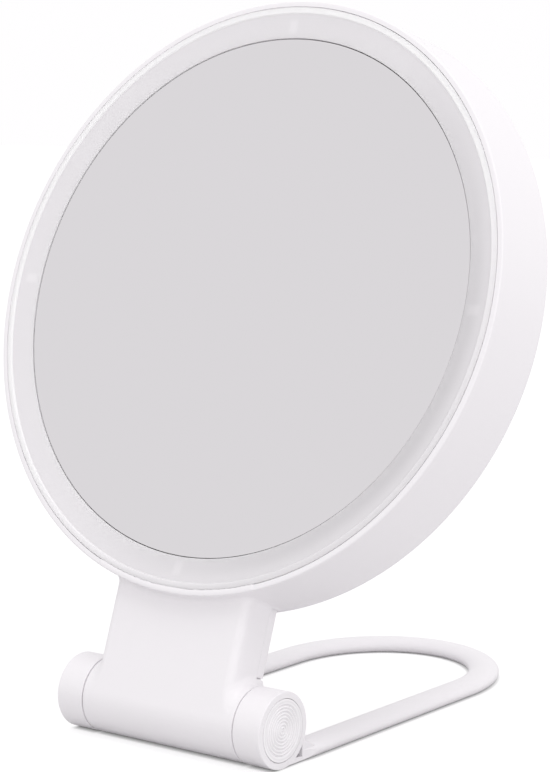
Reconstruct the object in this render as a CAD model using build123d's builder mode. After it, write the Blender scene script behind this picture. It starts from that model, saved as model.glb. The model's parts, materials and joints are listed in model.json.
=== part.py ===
from build123d import *
import math
import os

# A folding lighted makeup mirror, in millimetres, one node for each piece.
# z 0 is the table. The hinge axis runs along x, at HINGE_Y and BARREL_R above the table.
# The head's pieces use planes of their own: x across, y up from the hinge axis, z out of the mirror.
# A size whose name ends in _N lies along that last direction, counted from the hinge axis.

os.makedirs("parts", exist_ok=True)

# Fits that many pieces share
SEAT_GAP = 0.3
PARTING_GAP = 0.15
RUNNING_GAP = 0.05
PLUG_GAP = 0.1

# Stance of the head
TILT = 19.6
DRUM_LOW_UP = 30.1

# Mirror glass and what it lies on
GLASS_R = 80.0
GLASS_T = 2.0
GLASS_FACE_N = 13.8
GLASS_EDGE = 0.4
TAPE_T = 0.5
TAPE_INSET = 4.0
TRAY_PLATE_T = 1.5
TRAY_RING_T = 1.4
TRAY_FLOOR_T = 1.5
TRAY_FLOOR_N = 5.0

# Light ring
DIFFUSER_T = 1.5
DIFFUSER_STEP = 0.3
DIFFUSER_W = 9.1
DIFFUSER_RISE = 0.55
RIM_T = 0.7
RIM_TOP_N = 15.6
RIM_ROUND = 0.25

# Drum of the front housing
WALL = 2.0
LIP_W = 1.5
LIP_ROUND = 0.5
DRUM_FRONT_N = 15.6
DRUM_BACK_N = -6.9
DRUM_FLARE = 2.0
BACK_ROUND = 0.8
LEDGE_W = 2.2
LEDGE_T = 1.5

# Neck and hinge barrel
NECK_HALF_W = 25.0
NECK_BACK_N = -4.4
NECK_CORNER = 2.5
NECK_BACK_CORNER = 1.2
NECK_FLARE = 1.7
NECK_PARTING_N = -0.4
PARTING_HALF_W = 25.5
SADDLE_UP = 13.0
FOOT_SLOT = (1.8, 0.4)
BARREL_R = 11.3
BARREL_RELIEF = 0.1
BARREL_HALF = 28.5
SEAM = 0.3
SEAM_EDGE = 0.3

# Foot loop, an oval bar with a flat underside
LEG_IN = 5.5
BAR_HALF_W = 5.0
BAR_H = 4.6
BAR_FLAT = 0.6
LEG_LENGTH = 100.2
LOOP_DEPTH = 38.6
LEG_START = 2.0

# Knuckles of the foot
KNUCKLE_W = 9.6
KNUCKLE_ROUND = 0.25
CAP_R = 9.2
CAP_PROUD = 0.1
CAP_T = 1.6
CAP_SKIRT_T = 0.9
CAP_SKIRT = 3.0
GROOVE_COUNT = 9
GROOVE_PITCH = 0.985
GROOVE_W = 0.5
GROOVE_DEPTH = 0.3
WEB_T = 3.0
POCKET_R = 11.05
POCKET_LOW = 32.5
POCKET_HIGH = 57.2
POCKET_CORNER = (9.2, 1.6)
POCKET_DEPTH = 5.0
LEG_FLUSH = 9.3

# Heel that joins each leg to its knuckle, as places behind the axis and above the table
HEEL_IN = (6.0, 1.3)
HEEL_TOP = (10.4, 6.1)
HEEL_END = (16.5, 3.0)
HEEL_T = 5.6

# Hinge hardware
SHAFT_R = 3.0
BUSH_R = 7.5
BUSH_LENGTH = 6.0
BUSH_FLANGE_R = 8.9
BUSH_FLANGE_T = 1.2
WASHER_R = 6.0
WAVE_T = 0.8
FLAT_T = 0.6
NUT_ACROSS = 10.0
NUT_T = 2.6
SHAFT_EDGE = 0.4

# Rear cover and its fixings
COVER_T = 2.0
SCREW_RING_OUT = 6.2
SCREW_R = 1.15
SCREW_HEAD_R = 2.5
SCREW_HEAD_T = 1.4
SCREW_LENGTH = 8.0
SCREW_SLOT_W = 0.7
SCREW_SLOT_DEPTH = 0.8
BOSS_R = 2.7
BOSS_TOP_N = 8.8
RIB_W = 3.0
RIB_OUT = 2.0
RIB_LOW_N = 7.2
NECK_SCREW_X = 14.0
NECK_SCREW_UP = 23.0
PILLAR_R = 3.0
PILLAR_INSET = 18.0

# Cells and their compartment
CELL_R = 5.25
CELL_LENGTH = 44.5
CELL_NUB = 0.9
CELL_NUB_R = 1.9
CELL_PITCH = 11.3
CELL_N = 1.7
BAY_LOW = 72.5
BAY_SIDE = 0.65
BAY_FLOOR_T = 1.2
BAY_RIM = 1.4
BAY_WALL = 1.5
SPRING_ROOM = 6.7
CONTACT_T = 0.4
CONTACT_W = 7.4
SPRING_R = 2.6
SPRING_WIRE_R = 0.3
SPRING_TURNS = 3

# Battery door
DOOR_T = 1.6
DOOR_GAP = 0.2
TONGUE_W = 3.0
TONGUE_T = 1.2
TONGUE_OUT = 1.5
TONGUE_ROOT = 1.4
GRIP_W = 14.0
GRIP_T = 0.8
GRIP_DEPTH = 0.6
GRIP_COUNT = 3
GRIP_PITCH = 2.4
PAD_T = 1.4
PAD_INSET = 3.0

# Power button and the switch behind it
BUTTON_UP = 56.0
BUTTON_R = 5.6
BUTTON_PROUD = 0.8
BUTTON_ROUND = 0.5
BUTTON_TRAVEL = 0.8
FLANGE_W = 1.3
FLANGE_T = 1.0
COLLAR_W = 1.4
COLLAR_T = 2.4
STEM_R = 2.0
SWITCH_W = 6.0
SWITCH_T = 3.4
PLUNGER_R = 1.7
PLUNGER_OUT = 1.7
PLUNGER_IN = 0.5
CONTROL_HALF_W = 13.0
CONTROL_LOW = 46.0
CONTROL_HIGH = 66.0
BOARD_T = 1.6
BOARD_N = 5.0
STANDOFF_R = 2.4
BOARD_SCREW_R = 1.0
BOARD_SCREW_HEAD_R = 1.9
BOARD_SCREW_HEAD_T = 1.3
BOARD_SCREW_LENGTH = 5.0
STANDOFF_X = 9.5
STANDOFF_PITCH = 13.0

# Lamp boards
LED_BOARD_T = 1.0
LED_BOARD_W = 6.0
LED_RING_OUT = 5.2
LED_COUNT = 20
LED_L = 3.5
LED_W = 2.8
LED_T = 0.7
NOTCH_GAP = 0.6

# Small parts of the control board
CHIP_X = 6.0
CHIP_W = 4.0
CHIP_L = 5.0
CHIP_T = 1.5
COIL_R = 2.2
COIL_T = 2.4
RESISTOR_PITCH = 3.0
RESISTOR_COUNT = 3
RESISTOR_L = 1.6
RESISTOR_W = 0.8
RESISTOR_T = 0.5

# Wires
WIRE_R = 0.6
WIRE_BEND = 1.3
LEAD_X = 4.6
LEAD_GAP = 1.8
LEAD_DROP_N = 1.9
LEAD_HEAD_UP = 46.9
LEAD_TOP_X = 5.0
LEAD_END_UP = 64.0
LEAD_ASIDE = 2.0
BATTERY_LEAD_N = 2.6

# Places that follow from the sizes
LOOP_REACH = LEG_LENGTH + LOOP_DEPTH + BAR_HALF_W
HINGE_Y = -(LOOP_REACH - BARREL_R) / 2
HEAD_BARREL_R = BARREL_R - BARREL_RELIEF
KNUCKLE_IN = BARREL_HALF + SEAM
KNUCKLE_OUT = KNUCKLE_IN + KNUCKLE_W
CAP_FACE_X = KNUCKLE_OUT + CAP_PROUD
LEG_X = KNUCKLE_IN + LEG_IN
WEB_X = KNUCKLE_IN + WEB_T
NECK_FRONT_N = HEAD_BARREL_R
GLASS_BACK_N = GLASS_FACE_N - GLASS_T
TRAY_FACE_N = GLASS_BACK_N - TAPE_T
TRAY_BACK_N = TRAY_FACE_N - TRAY_PLATE_T
DIFFUSER_FACE_N = GLASS_FACE_N + DIFFUSER_STEP
DIFFUSER_BACK_N = DIFFUSER_FACE_N - DIFFUSER_T
RING_IN_R = GLASS_R + SEAT_GAP
RIM_R = RING_IN_R + DIFFUSER_W
LIP_IN_R = RIM_R + SEAT_GAP
LIP_R = LIP_IN_R + LIP_W
BACK_R = LIP_R + DRUM_FLARE
HEAD_UP = DRUM_LOW_UP + BACK_R
SCREW_RING_R = GLASS_R + SCREW_RING_OUT
LED_RING_R = GLASS_R + LED_RING_OUT
RIB_IN_R = GLASS_R + RIB_OUT
PILLAR_RING_R = GLASS_R - PILLAR_INSET
LEDGE_R = LIP_IN_R - LEDGE_W
LEDGE_BACK_N = DIFFUSER_BACK_N - LEDGE_T
COVER_IN_N = DRUM_BACK_N + COVER_T
BAY_HALF = CELL_PITCH + CELL_R + BAY_SIDE
BAY_LENGTH = CELL_LENGTH + SPRING_ROOM + 2 * CONTACT_T
BAY_HIGH = BAY_LOW + BAY_LENGTH
BAY_FLOOR_N = CELL_N + CELL_R + SEAT_GAP
DOOR_IN_N = DRUM_BACK_N + DOOR_T
DOOR_HALF = BAY_HALF + BAY_RIM
DOOR_LOW = BAY_LOW - BAY_RIM
DOOR_HIGH = BAY_HIGH + BAY_RIM
BAY_MID = (BAY_LOW + BAY_HIGH) / 2
SWITCH_FACE_N = BOARD_N - SWITCH_T
STEM_END_N = SWITCH_FACE_N - PLUNGER_OUT
BUTTON_HOLE_R = BUTTON_R + SEAT_GAP
CELL_PLACES = [(-CELL_PITCH, 1), (0, -1), (CELL_PITCH, 1)]
QUARTERS = [0, 90, 180, 270]
NOTCH_HALF = BOSS_R + NOTCH_GAP
NOTCH_IN_R = SCREW_RING_R - BOSS_R - NOTCH_GAP
CONTROL_MID = (CONTROL_LOW + CONTROL_HIGH) / 2
STANDOFFS = [
    (x, CONTROL_MID + up)
    for x in (-STANDOFF_X, STANDOFF_X)
    for up in (-STANDOFF_PITCH / 2, STANDOFF_PITCH / 2)
]
TONGUES = [(-CELL_PITCH / 2, BAY_LOW), (CELL_PITCH / 2, BAY_LOW)]
LATCHES = [(-CELL_PITCH / 2, BAY_HIGH - SEAT_GAP), (CELL_PITCH / 2, BAY_HIGH - SEAT_GAP)]
LEAD_FOOT_UP = HEAD_UP - LED_RING_R
LEAD_CROSS_UP = (CONTROL_HIGH + DOOR_LOW - BAY_WALL) / 2

# The head's planes
lean = math.radians(TILT)
OUT = Vector(0, -math.cos(lean), math.sin(lean))
UP = Vector(0, math.sin(lean), math.cos(lean))
HINGE = Vector(0, HINGE_Y, BARREL_R)
HEAD = Plane(origin=HINGE, x_dir=(1, 0, 0), z_dir=OUT)
FACE = Plane(origin=HINGE + UP * HEAD_UP, x_dir=(1, 0, 0), z_dir=OUT)
SECTION = Plane(origin=HINGE + UP * HEAD_UP, x_dir=(1, 0, 0), z_dir=UP * -1)
ACROSS_NECK = Plane(origin=HINGE, x_dir=(-1, 0, 0), z_dir=UP)
HINGE_AXIS = Axis(HINGE, (1, 0, 0))
DRUM_AXIS = Axis(HINGE + UP * HEAD_UP, OUT)


def side_plane(x):
    """The plane across the hinge axis at x: its own x runs to the rear, its own y runs up."""
    return Plane(origin=(x, HINGE_Y, BARREL_R), x_dir=(0, 1, 0), z_dir=(1, 0, 0))


def drum_r(n):
    """Outer radius of the drum, which flares evenly from the lip to the back."""
    share = (DRUM_FRONT_N - n) / (DRUM_FRONT_N - DRUM_BACK_N)
    return LIP_R + (BACK_R - LIP_R) * share


def head_point(x, up, n):
    """A point given across, up from the hinge axis and out of the mirror."""
    return HINGE + Vector(x, 0, 0) + UP * up + OUT * n


SCREW_SITES = [
    Plane(origin=head_point(SCREW_RING_R * math.cos(math.radians(turn)),
                            HEAD_UP + SCREW_RING_R * math.sin(math.radians(turn)), DRUM_BACK_N),
          x_dir=(1, 0, 0), z_dir=OUT)
    for turn in QUARTERS
] + [
    Plane(origin=head_point(side * NECK_SCREW_X, NECK_SCREW_UP, NECK_BACK_N), x_dir=(1, 0, 0), z_dir=OUT)
    for side in (1, -1)
]


def save(part, name):
    """Label a finished piece and write it as its own node."""
    part.label = name
    export_step(part, f"parts/{name}.step")


def wire(points, radius=WIRE_R, bend=WIRE_BEND):
    """A round wire along straight runs with rounded bends."""
    with BuildPart() as lead:
        with BuildLine() as path:
            FilletPolyline(*points, radius=bend)
        with BuildSketch(Plane(origin=path.line @ 0, z_dir=path.line % 0)):
            Circle(radius)
        sweep()
    return lead.part


# Foot frame

with BuildPart() as loop_bar:
    with BuildLine(Plane.XY) as loop_path:
        right_leg = Line((LEG_X, HINGE_Y + LEG_START), (LEG_X, HINGE_Y + LEG_LENGTH))
        bow = EllipticalCenterArc((0, HINGE_Y + LEG_LENGTH), LEG_X, LOOP_DEPTH, 0, arc_size=180)
        left_leg = Line((-LEG_X, HINGE_Y + LEG_LENGTH), (-LEG_X, HINGE_Y + LEG_START))
    with BuildSketch(Plane(origin=(LEG_X, HINGE_Y + LEG_START, 0), x_dir=(-1, 0, 0), z_dir=(0, 1, 0))):
        with Locations((0, (BAR_H - BAR_FLAT) / 2)):
            Ellipse(BAR_HALF_W, (BAR_H + BAR_FLAT) / 2)
        with Locations((0, BAR_H / 2)):
            Rectangle(2 * BAR_HALF_W, BAR_H, mode=Mode.INTERSECT)
    sweep()

with BuildPart() as knuckle:
    with BuildSketch(side_plane(KNUCKLE_IN)):
        Circle(BARREL_R)
    extrude(amount=KNUCKLE_OUT - KNUCKLE_IN)
    fillet(knuckle.edges().sort_by(Axis.X)[-1], KNUCKLE_ROUND)
    fillet(knuckle.edges().group_by(Axis.X)[0], SEAM_EDGE)

with BuildPart() as foot_frame:
    add(loop_bar.part)
    add(knuckle.part)
    add(mirror(knuckle.part, about=Plane.YZ, mode=Mode.PRIVATE))
    for side in (1, -1):
        # The heel, and the leg's end planed off in a slant until it is flush with the knuckle
        with BuildSketch(side_plane(side * (KNUCKLE_OUT - HEEL_T))):
            with BuildLine():
                Polyline(
                    (HEEL_IN[0], HEEL_IN[1] - BARREL_R),
                    (HEEL_END[0], HEEL_IN[1] - BARREL_R),
                    (HEEL_END[0], HEEL_END[1] - BARREL_R),
                    (HEEL_TOP[0], HEEL_TOP[1] - BARREL_R),
                    (HEEL_IN[0], HEEL_TOP[1] - BARREL_R),
                    close=True,
                )
            make_face()
        extrude(amount=side * HEEL_T)
        with BuildSketch(Plane.XY):
            with BuildLine():
                Polyline(
                    (side * KNUCKLE_OUT, HINGE_Y),
                    (side * KNUCKLE_OUT, HINGE_Y + LEG_FLUSH),
                    (side * (LEG_X + BAR_HALF_W + PLUG_GAP), HINGE_Y + HEEL_END[0]),
                    (side * (LEG_X + BAR_HALF_W + PLUG_GAP), HINGE_Y),
                    close=True,
                )
            make_face()
        extrude(amount=BAR_H, mode=Mode.SUBTRACT)
        # Seat of the end cap, bore of the shaft and the small pocket beside the cap
        with BuildSketch(side_plane(side * WEB_X)):
            Circle(CAP_R + PLUG_GAP)
        extrude(amount=side * (KNUCKLE_OUT - WEB_X), mode=Mode.SUBTRACT)
        with BuildSketch(side_plane(side * KNUCKLE_IN)):
            Circle(SHAFT_R + RUNNING_GAP)
        extrude(amount=side * WEB_T, mode=Mode.SUBTRACT)
        with BuildSketch(side_plane(side * (KNUCKLE_OUT - POCKET_DEPTH))):
            with BuildLine():
                pocket_arc = CenterArc((0, 0), POCKET_R, -90 + POCKET_LOW, POCKET_HIGH - POCKET_LOW)
                corner = (POCKET_CORNER[0], POCKET_CORNER[1] - BARREL_R)
                Polyline(pocket_arc @ 1, corner, pocket_arc @ 0)
            make_face()
        extrude(amount=side * POCKET_DEPTH, mode=Mode.SUBTRACT)

save(foot_frame.part, "foot_frame")

# End caps with turned grooves

with BuildPart() as end_cap_right:
    with BuildSketch(side_plane(CAP_FACE_X - CAP_T)):
        Circle(CAP_R)
    extrude(amount=CAP_T)
    with BuildSketch(side_plane(CAP_FACE_X - CAP_T)):
        Circle(CAP_R)
        Circle(CAP_R - CAP_SKIRT_T, mode=Mode.SUBTRACT)
    extrude(amount=-CAP_SKIRT)
    with BuildSketch(side_plane(CAP_FACE_X - GROOVE_DEPTH)):
        for turn in range(GROOVE_COUNT):
            groove_r = GROOVE_PITCH * (turn + 0.5)
            Circle(groove_r + GROOVE_W / 2)
            Circle(groove_r - GROOVE_W / 2, mode=Mode.SUBTRACT)
    extrude(amount=GROOVE_DEPTH, mode=Mode.SUBTRACT)

save(end_cap_right.part, "end_cap_right")

with BuildPart() as end_cap_left:
    add(mirror(end_cap_right.part, about=Plane.YZ, mode=Mode.PRIVATE))

save(end_cap_left.part, "end_cap_left")

# Shaft, bushes, washers and nuts

WAVE_X = WEB_X
FLAT_X = WAVE_X + WAVE_T
NUT_X = FLAT_X + FLAT_T
SHAFT_HALF = NUT_X + NUT_T

with BuildPart() as hinge_shaft:
    with BuildSketch(side_plane(-SHAFT_HALF)):
        Circle(SHAFT_R)
    extrude(amount=2 * SHAFT_HALF)
    chamfer(hinge_shaft.edges().group_by(Axis.X)[0], SHAFT_EDGE)
    chamfer(hinge_shaft.edges().group_by(Axis.X)[-1], SHAFT_EDGE)

save(hinge_shaft.part, "hinge_shaft")

with BuildPart() as hinge_bushes:
    for side in (1, -1):
        with BuildSketch(side_plane(side * BARREL_HALF)):
            Circle(BUSH_FLANGE_R)
        extrude(amount=-side * BUSH_FLANGE_T)
        with BuildSketch(side_plane(side * BARREL_HALF)):
            Circle(BUSH_R)
        extrude(amount=-side * BUSH_LENGTH)
        with BuildSketch(side_plane(side * BARREL_HALF)):
            Circle(SHAFT_R + RUNNING_GAP)
        extrude(amount=-side * BUSH_LENGTH, mode=Mode.SUBTRACT)

save(hinge_bushes.part, "hinge_bushes")


def ring_pair(x, thickness, outer_r, inner_r):
    """Two like rings on the hinge axis, from x outwards on each side."""
    with BuildPart() as rings:
        for side in (1, -1):
            with BuildSketch(side_plane(side * x)):
                Circle(outer_r)
                Circle(inner_r, mode=Mode.SUBTRACT)
            extrude(amount=side * thickness)
    return rings.part


FRICTION_X = BARREL_HALF + RUNNING_GAP
save(ring_pair(FRICTION_X, SEAM - RUNNING_GAP, BUSH_FLANGE_R, SHAFT_R + PLUG_GAP), "friction_washers")
save(ring_pair(WAVE_X, WAVE_T, WASHER_R, SHAFT_R + PLUG_GAP), "wave_washers")
save(ring_pair(FLAT_X, FLAT_T, WASHER_R, SHAFT_R + PLUG_GAP), "flat_washers")

with BuildPart() as hinge_nuts:
    for side in (1, -1):
        with BuildSketch(side_plane(side * NUT_X)):
            RegularPolygon(NUT_ACROSS / 2, 6, major_radius=False)
            Circle(SHAFT_R + RUNNING_GAP, mode=Mode.SUBTRACT)
        extrude(amount=side * NUT_T)

save(hinge_nuts.part, "hinge_nuts")

# Outer form of the head, which the housing and the rear cover share

with BuildPart() as neck_block:
    with BuildSketch(ACROSS_NECK) as neck_outline:
        with Locations((0, (NECK_FRONT_N + NECK_BACK_N) / 2)):
            Rectangle(2 * NECK_HALF_W, NECK_FRONT_N - NECK_BACK_N)
        fillet(neck_outline.vertices().group_by(Axis.Y)[-1], NECK_CORNER)
        fillet(neck_outline.vertices().group_by(Axis.Y)[0], NECK_BACK_CORNER)
    extrude(amount=HEAD_UP - GLASS_R)

with BuildPart() as flare:
    with BuildSketch(HEAD):
        with BuildLine():
            flare_in = (NECK_HALF_W, HEAD_BARREL_R)
            flare_up = (NECK_HALF_W, HEAD_BARREL_R + NECK_FLARE)
            flare_out = (NECK_HALF_W + NECK_FLARE, HEAD_BARREL_R)
            Line(flare_out, flare_in)
            Line(flare_in, flare_up)
            RadiusArc(flare_up, flare_out, NECK_FLARE)
        make_face()
    revolve(axis=HINGE_AXIS, revolution_arc=360)
    with BuildSketch(HEAD.offset(NECK_BACK_N)):
        with Locations((0, HEAD_BARREL_R)):
            Rectangle(2 * BARREL_HALF, 2 * HEAD_BARREL_R)
    extrude(amount=NECK_FRONT_N - NECK_BACK_N, mode=Mode.INTERSECT)

with BuildPart() as barrel:
    with BuildSketch(side_plane(-BARREL_HALF)):
        Circle(HEAD_BARREL_R)
    extrude(amount=2 * BARREL_HALF)
    chamfer(barrel.edges().group_by(Axis.X)[0], SEAM_EDGE)
    chamfer(barrel.edges().group_by(Axis.X)[-1], SEAM_EDGE)

with BuildPart() as head_shell:
    with BuildSketch(SECTION) as drum_section:
        with BuildLine():
            Polyline(
                (0, DRUM_BACK_N),
                (BACK_R, DRUM_BACK_N),
                (LIP_R, DRUM_FRONT_N),
                (0, DRUM_FRONT_N),
                close=True,
            )
        make_face()
        fillet(drum_section.vertices().sort_by(Axis.X)[-1], BACK_ROUND)
        fillet(drum_section.vertices().group_by(Axis.Y)[-1].sort_by(Axis.X)[-1], LIP_ROUND)
    revolve(axis=DRUM_AXIS)
    add(neck_block.part)
    add(flare.part)
    add(mirror(flare.part, about=Plane.YZ, mode=Mode.PRIVATE))
    add(barrel.part)
    # Room inside the drum, up to the ledge that carries the light ring, and the opening ahead of it
    with BuildSketch(SECTION):
        with BuildLine():
            Polyline(
                (0, COVER_IN_N),
                (drum_r(COVER_IN_N) - WALL, COVER_IN_N),
                (drum_r(LEDGE_BACK_N) - WALL, LEDGE_BACK_N),
                (LEDGE_R, LEDGE_BACK_N),
                (LEDGE_R, DIFFUSER_BACK_N),
                (LIP_IN_R, DIFFUSER_BACK_N),
                (LIP_IN_R, DRUM_FRONT_N),
                (0, DRUM_FRONT_N),
                close=True,
            )
        make_face()
    revolve(axis=DRUM_AXIS, mode=Mode.SUBTRACT)
    # Room inside the neck
    with BuildSketch(ACROSS_NECK.offset(SADDLE_UP + WALL)):
        with Locations((0, (NECK_FRONT_N + NECK_BACK_N) / 2)):
            Rectangle(2 * (NECK_HALF_W - WALL), NECK_FRONT_N - NECK_BACK_N - 2 * WALL)
    extrude(amount=HEAD_UP - GLASS_R - SADDLE_UP - WALL, mode=Mode.SUBTRACT)


def cover_zone(gap):
    """The space of the rear cover, wider by gap where the housing is cut to receive it."""
    with BuildPart() as zone:
        with BuildSketch(FACE.offset(DRUM_BACK_N)):
            Circle(drum_r(DRUM_BACK_N) - WALL - PARTING_GAP + gap)
        extrude(amount=COVER_T)
        with BuildSketch(HEAD.offset(DRUM_BACK_N)):
            with Locations((0, SADDLE_UP - gap)):
                Rectangle(
                    2 * (PARTING_HALF_W + gap),
                    HEAD_UP - GLASS_R - SADDLE_UP + gap,
                    align=(Align.CENTER, Align.MIN),
                )
        extrude(amount=NECK_PARTING_N + gap - DRUM_BACK_N)
    return zone.part


# Front housing: drum wall with its lip, neck and hinge barrel

with BuildPart() as front_housing:
    add(head_shell.part)
    add(cover_zone(PARTING_GAP), mode=Mode.SUBTRACT)
    # Screw bosses behind the light ring, each with the rib that steadies the ring
    with BuildSketch(FACE.offset(COVER_IN_N)):
        with PolarLocations(SCREW_RING_R, len(QUARTERS)):
            Circle(BOSS_R)
    extrude(amount=BOSS_TOP_N - COVER_IN_N)
    with BuildSketch(FACE.offset(RIB_LOW_N)):
        with PolarLocations(RIB_IN_R, len(QUARTERS)):
            Rectangle(drum_r(RIB_LOW_N) - WALL / 2 - RIB_IN_R, RIB_W, align=(Align.MIN, Align.CENTER))
    extrude(amount=DIFFUSER_BACK_N - RIB_LOW_N)
    # Screw bosses inside the neck
    with BuildSketch(HEAD.offset(NECK_BACK_N + WALL)):
        with Locations((NECK_SCREW_X, NECK_SCREW_UP), (-NECK_SCREW_X, NECK_SCREW_UP)):
            Circle(BOSS_R)
    extrude(amount=NECK_FRONT_N - NECK_BACK_N - 2 * WALL)
    with BuildSketch(*SCREW_SITES):
        Circle(SCREW_R + RUNNING_GAP)
    extrude(amount=SCREW_LENGTH + SEAT_GAP, mode=Mode.SUBTRACT)
    # Bore of the barrel, with a seat for each bush
    with BuildSketch(side_plane(-BARREL_HALF)):
        Circle(BUSH_R + RUNNING_GAP)
    extrude(amount=2 * BARREL_HALF, mode=Mode.SUBTRACT)
    for side in (1, -1):
        with BuildSketch(side_plane(side * BARREL_HALF)):
            Circle(BUSH_FLANGE_R + RUNNING_GAP)
        extrude(amount=-side * BUSH_FLANGE_T, mode=Mode.SUBTRACT)

save(front_housing.part, "front_housing")

# Rear cover: back plate, back of the neck, battery bay, posts and seats

with BuildPart() as rear_cover:
    add(head_shell.part)
    add(cover_zone(0), mode=Mode.INTERSECT)
    with BuildSketch(HEAD.offset(COVER_IN_N)):
        with Locations((0, BAY_MID)):
            Rectangle(2 * (DOOR_HALF + BAY_WALL), DOOR_HIGH - DOOR_LOW + 2 * BAY_WALL)
    extrude(amount=BAY_FLOOR_N + BAY_FLOOR_T - COVER_IN_N)
    with BuildSketch(FACE.offset(COVER_IN_N)):
        with PolarLocations(PILLAR_RING_R, len(QUARTERS), start_angle=45):
            Circle(PILLAR_R)
    extrude(amount=TRAY_BACK_N - COVER_IN_N)
    with BuildSketch(HEAD.offset(COVER_IN_N)):
        with Locations(*STANDOFFS):
            Circle(STANDOFF_R)
    extrude(amount=BOARD_N - COVER_IN_N)
    with BuildSketch(HEAD.offset(COVER_IN_N)):
        with Locations((0, BUTTON_UP)):
            Circle(BUTTON_R + FLANGE_W + SEAT_GAP + COLLAR_W)
            Circle(BUTTON_R + FLANGE_W + SEAT_GAP, mode=Mode.SUBTRACT)
    extrude(amount=COLLAR_T)
    # Room for the cells, rebate of the door, slots of its tongues and holes for the two leads
    with BuildSketch(HEAD.offset(DRUM_BACK_N)):
        with Locations((0, BAY_MID)):
            Rectangle(2 * BAY_HALF, BAY_LENGTH)
    extrude(amount=BAY_FLOOR_N - DRUM_BACK_N, mode=Mode.SUBTRACT)
    with BuildSketch(HEAD.offset(DRUM_BACK_N)):
        with Locations((0, BAY_MID)):
            Rectangle(2 * DOOR_HALF, DOOR_HIGH - DOOR_LOW)
    extrude(amount=DOOR_T, mode=Mode.SUBTRACT)
    with BuildSketch(HEAD.offset(COVER_IN_N)):
        with Locations(*TONGUES):
            Rectangle(TONGUE_W + 2 * SEAT_GAP, BAY_RIM + BAY_WALL, align=(Align.CENTER, Align.MAX))
    extrude(amount=2 * TONGUE_T, mode=Mode.SUBTRACT)
    with BuildSketch(HEAD.offset(DOOR_IN_N)):
        with Locations(*TONGUES):
            Rectangle(TONGUE_W + 2 * SEAT_GAP, BAY_RIM, align=(Align.CENTER, Align.MAX))
    extrude(amount=COVER_IN_N - DOOR_IN_N, mode=Mode.SUBTRACT)
    with BuildSketch(Plane(origin=head_point(0, BAY_LOW, BATTERY_LEAD_N), x_dir=(1, 0, 0), z_dir=UP)):
        with Locations((-CELL_PITCH, 0)):
            Circle(WIRE_R + PLUG_GAP)
    extrude(amount=-(BAY_RIM + BAY_WALL), mode=Mode.SUBTRACT)
    with BuildSketch(Plane(origin=head_point(0, BAY_HIGH, BATTERY_LEAD_N), x_dir=(1, 0, 0), z_dir=UP)):
        with Locations((CELL_PITCH, 0)):
            Circle(WIRE_R + PLUG_GAP)
    extrude(amount=BAY_RIM + BAY_WALL, mode=Mode.SUBTRACT)
    # Slots at the two corners of the cover's foot, by which it is prised off
    with BuildSketch(HEAD.offset(DRUM_BACK_N)):
        with Locations((PARTING_HALF_W, SADDLE_UP), (-PARTING_HALF_W, SADDLE_UP)):
            Rectangle(2 * FOOT_SLOT[0], 2 * FOOT_SLOT[1])
    extrude(amount=NECK_PARTING_N - DRUM_BACK_N, mode=Mode.SUBTRACT)
    # Holes of the button and of the screws
    with BuildSketch(HEAD.offset(DRUM_BACK_N)):
        with Locations((0, BUTTON_UP)):
            Circle(BUTTON_HOLE_R)
    extrude(amount=COVER_T, mode=Mode.SUBTRACT)
    with BuildSketch(*SCREW_SITES):
        Circle(SCREW_R + PARTING_GAP)
    extrude(amount=COVER_T, mode=Mode.SUBTRACT)
    with BuildSketch(*SCREW_SITES):
        Circle(SCREW_HEAD_R + PARTING_GAP)
    extrude(amount=SCREW_HEAD_T, taper=45, mode=Mode.SUBTRACT)
    with BuildSketch(HEAD.offset(BOARD_N)):
        with Locations(*STANDOFFS):
            Circle(BOARD_SCREW_R + RUNNING_GAP)
    extrude(amount=-BOARD_SCREW_LENGTH, mode=Mode.SUBTRACT)

save(rear_cover.part, "rear_cover")

with BuildPart() as cover_screws:
    with BuildSketch(*SCREW_SITES):
        Circle(SCREW_HEAD_R)
    extrude(amount=SCREW_HEAD_T, taper=45)
    with BuildSketch(*SCREW_SITES):
        Circle(SCREW_R)
    extrude(amount=SCREW_LENGTH)
    with BuildSketch(*SCREW_SITES):
        Rectangle(2 * SCREW_HEAD_R - SCREW_SLOT_W, SCREW_SLOT_W)
        Rectangle(SCREW_SLOT_W, 2 * SCREW_HEAD_R - SCREW_SLOT_W)
    extrude(amount=SCREW_SLOT_DEPTH, mode=Mode.SUBTRACT)

save(cover_screws.part, "cover_screws")

# Glass, tape, light ring and tray

with BuildPart() as mirror_glass:
    with BuildSketch(FACE.offset(GLASS_BACK_N)):
        Circle(GLASS_R)
    extrude(amount=GLASS_T)
    chamfer(mirror_glass.edges().sort_by(DRUM_AXIS)[-1], GLASS_EDGE)

save(mirror_glass.part, "mirror_glass")

with BuildPart() as mirror_tape:
    with BuildSketch(FACE.offset(TRAY_FACE_N)):
        Circle(GLASS_R - TAPE_INSET)
    extrude(amount=TAPE_T)

save(mirror_tape.part, "mirror_tape")

with BuildPart() as diffuser_ring:
    with BuildSketch(SECTION) as ring_section:
        with BuildLine():
            Polyline(
                (RING_IN_R, DIFFUSER_BACK_N),
                (RING_IN_R, DIFFUSER_FACE_N),
                (RIM_R - RIM_T, DIFFUSER_FACE_N + DIFFUSER_RISE),
                (RIM_R - RIM_T, RIM_TOP_N),
                (RIM_R, RIM_TOP_N),
                (RIM_R, DIFFUSER_BACK_N),
                close=True,
            )
        make_face()
        fillet(ring_section.vertices().group_by(Axis.Y)[-1], RIM_ROUND)
    revolve(axis=DRUM_AXIS)

save(diffuser_ring.part, "diffuser_ring")

TRAY_R = drum_r(TRAY_FLOOR_N) - WALL - SEAT_GAP
TRAY_RING_R = RING_IN_R + TRAY_RING_T

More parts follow.
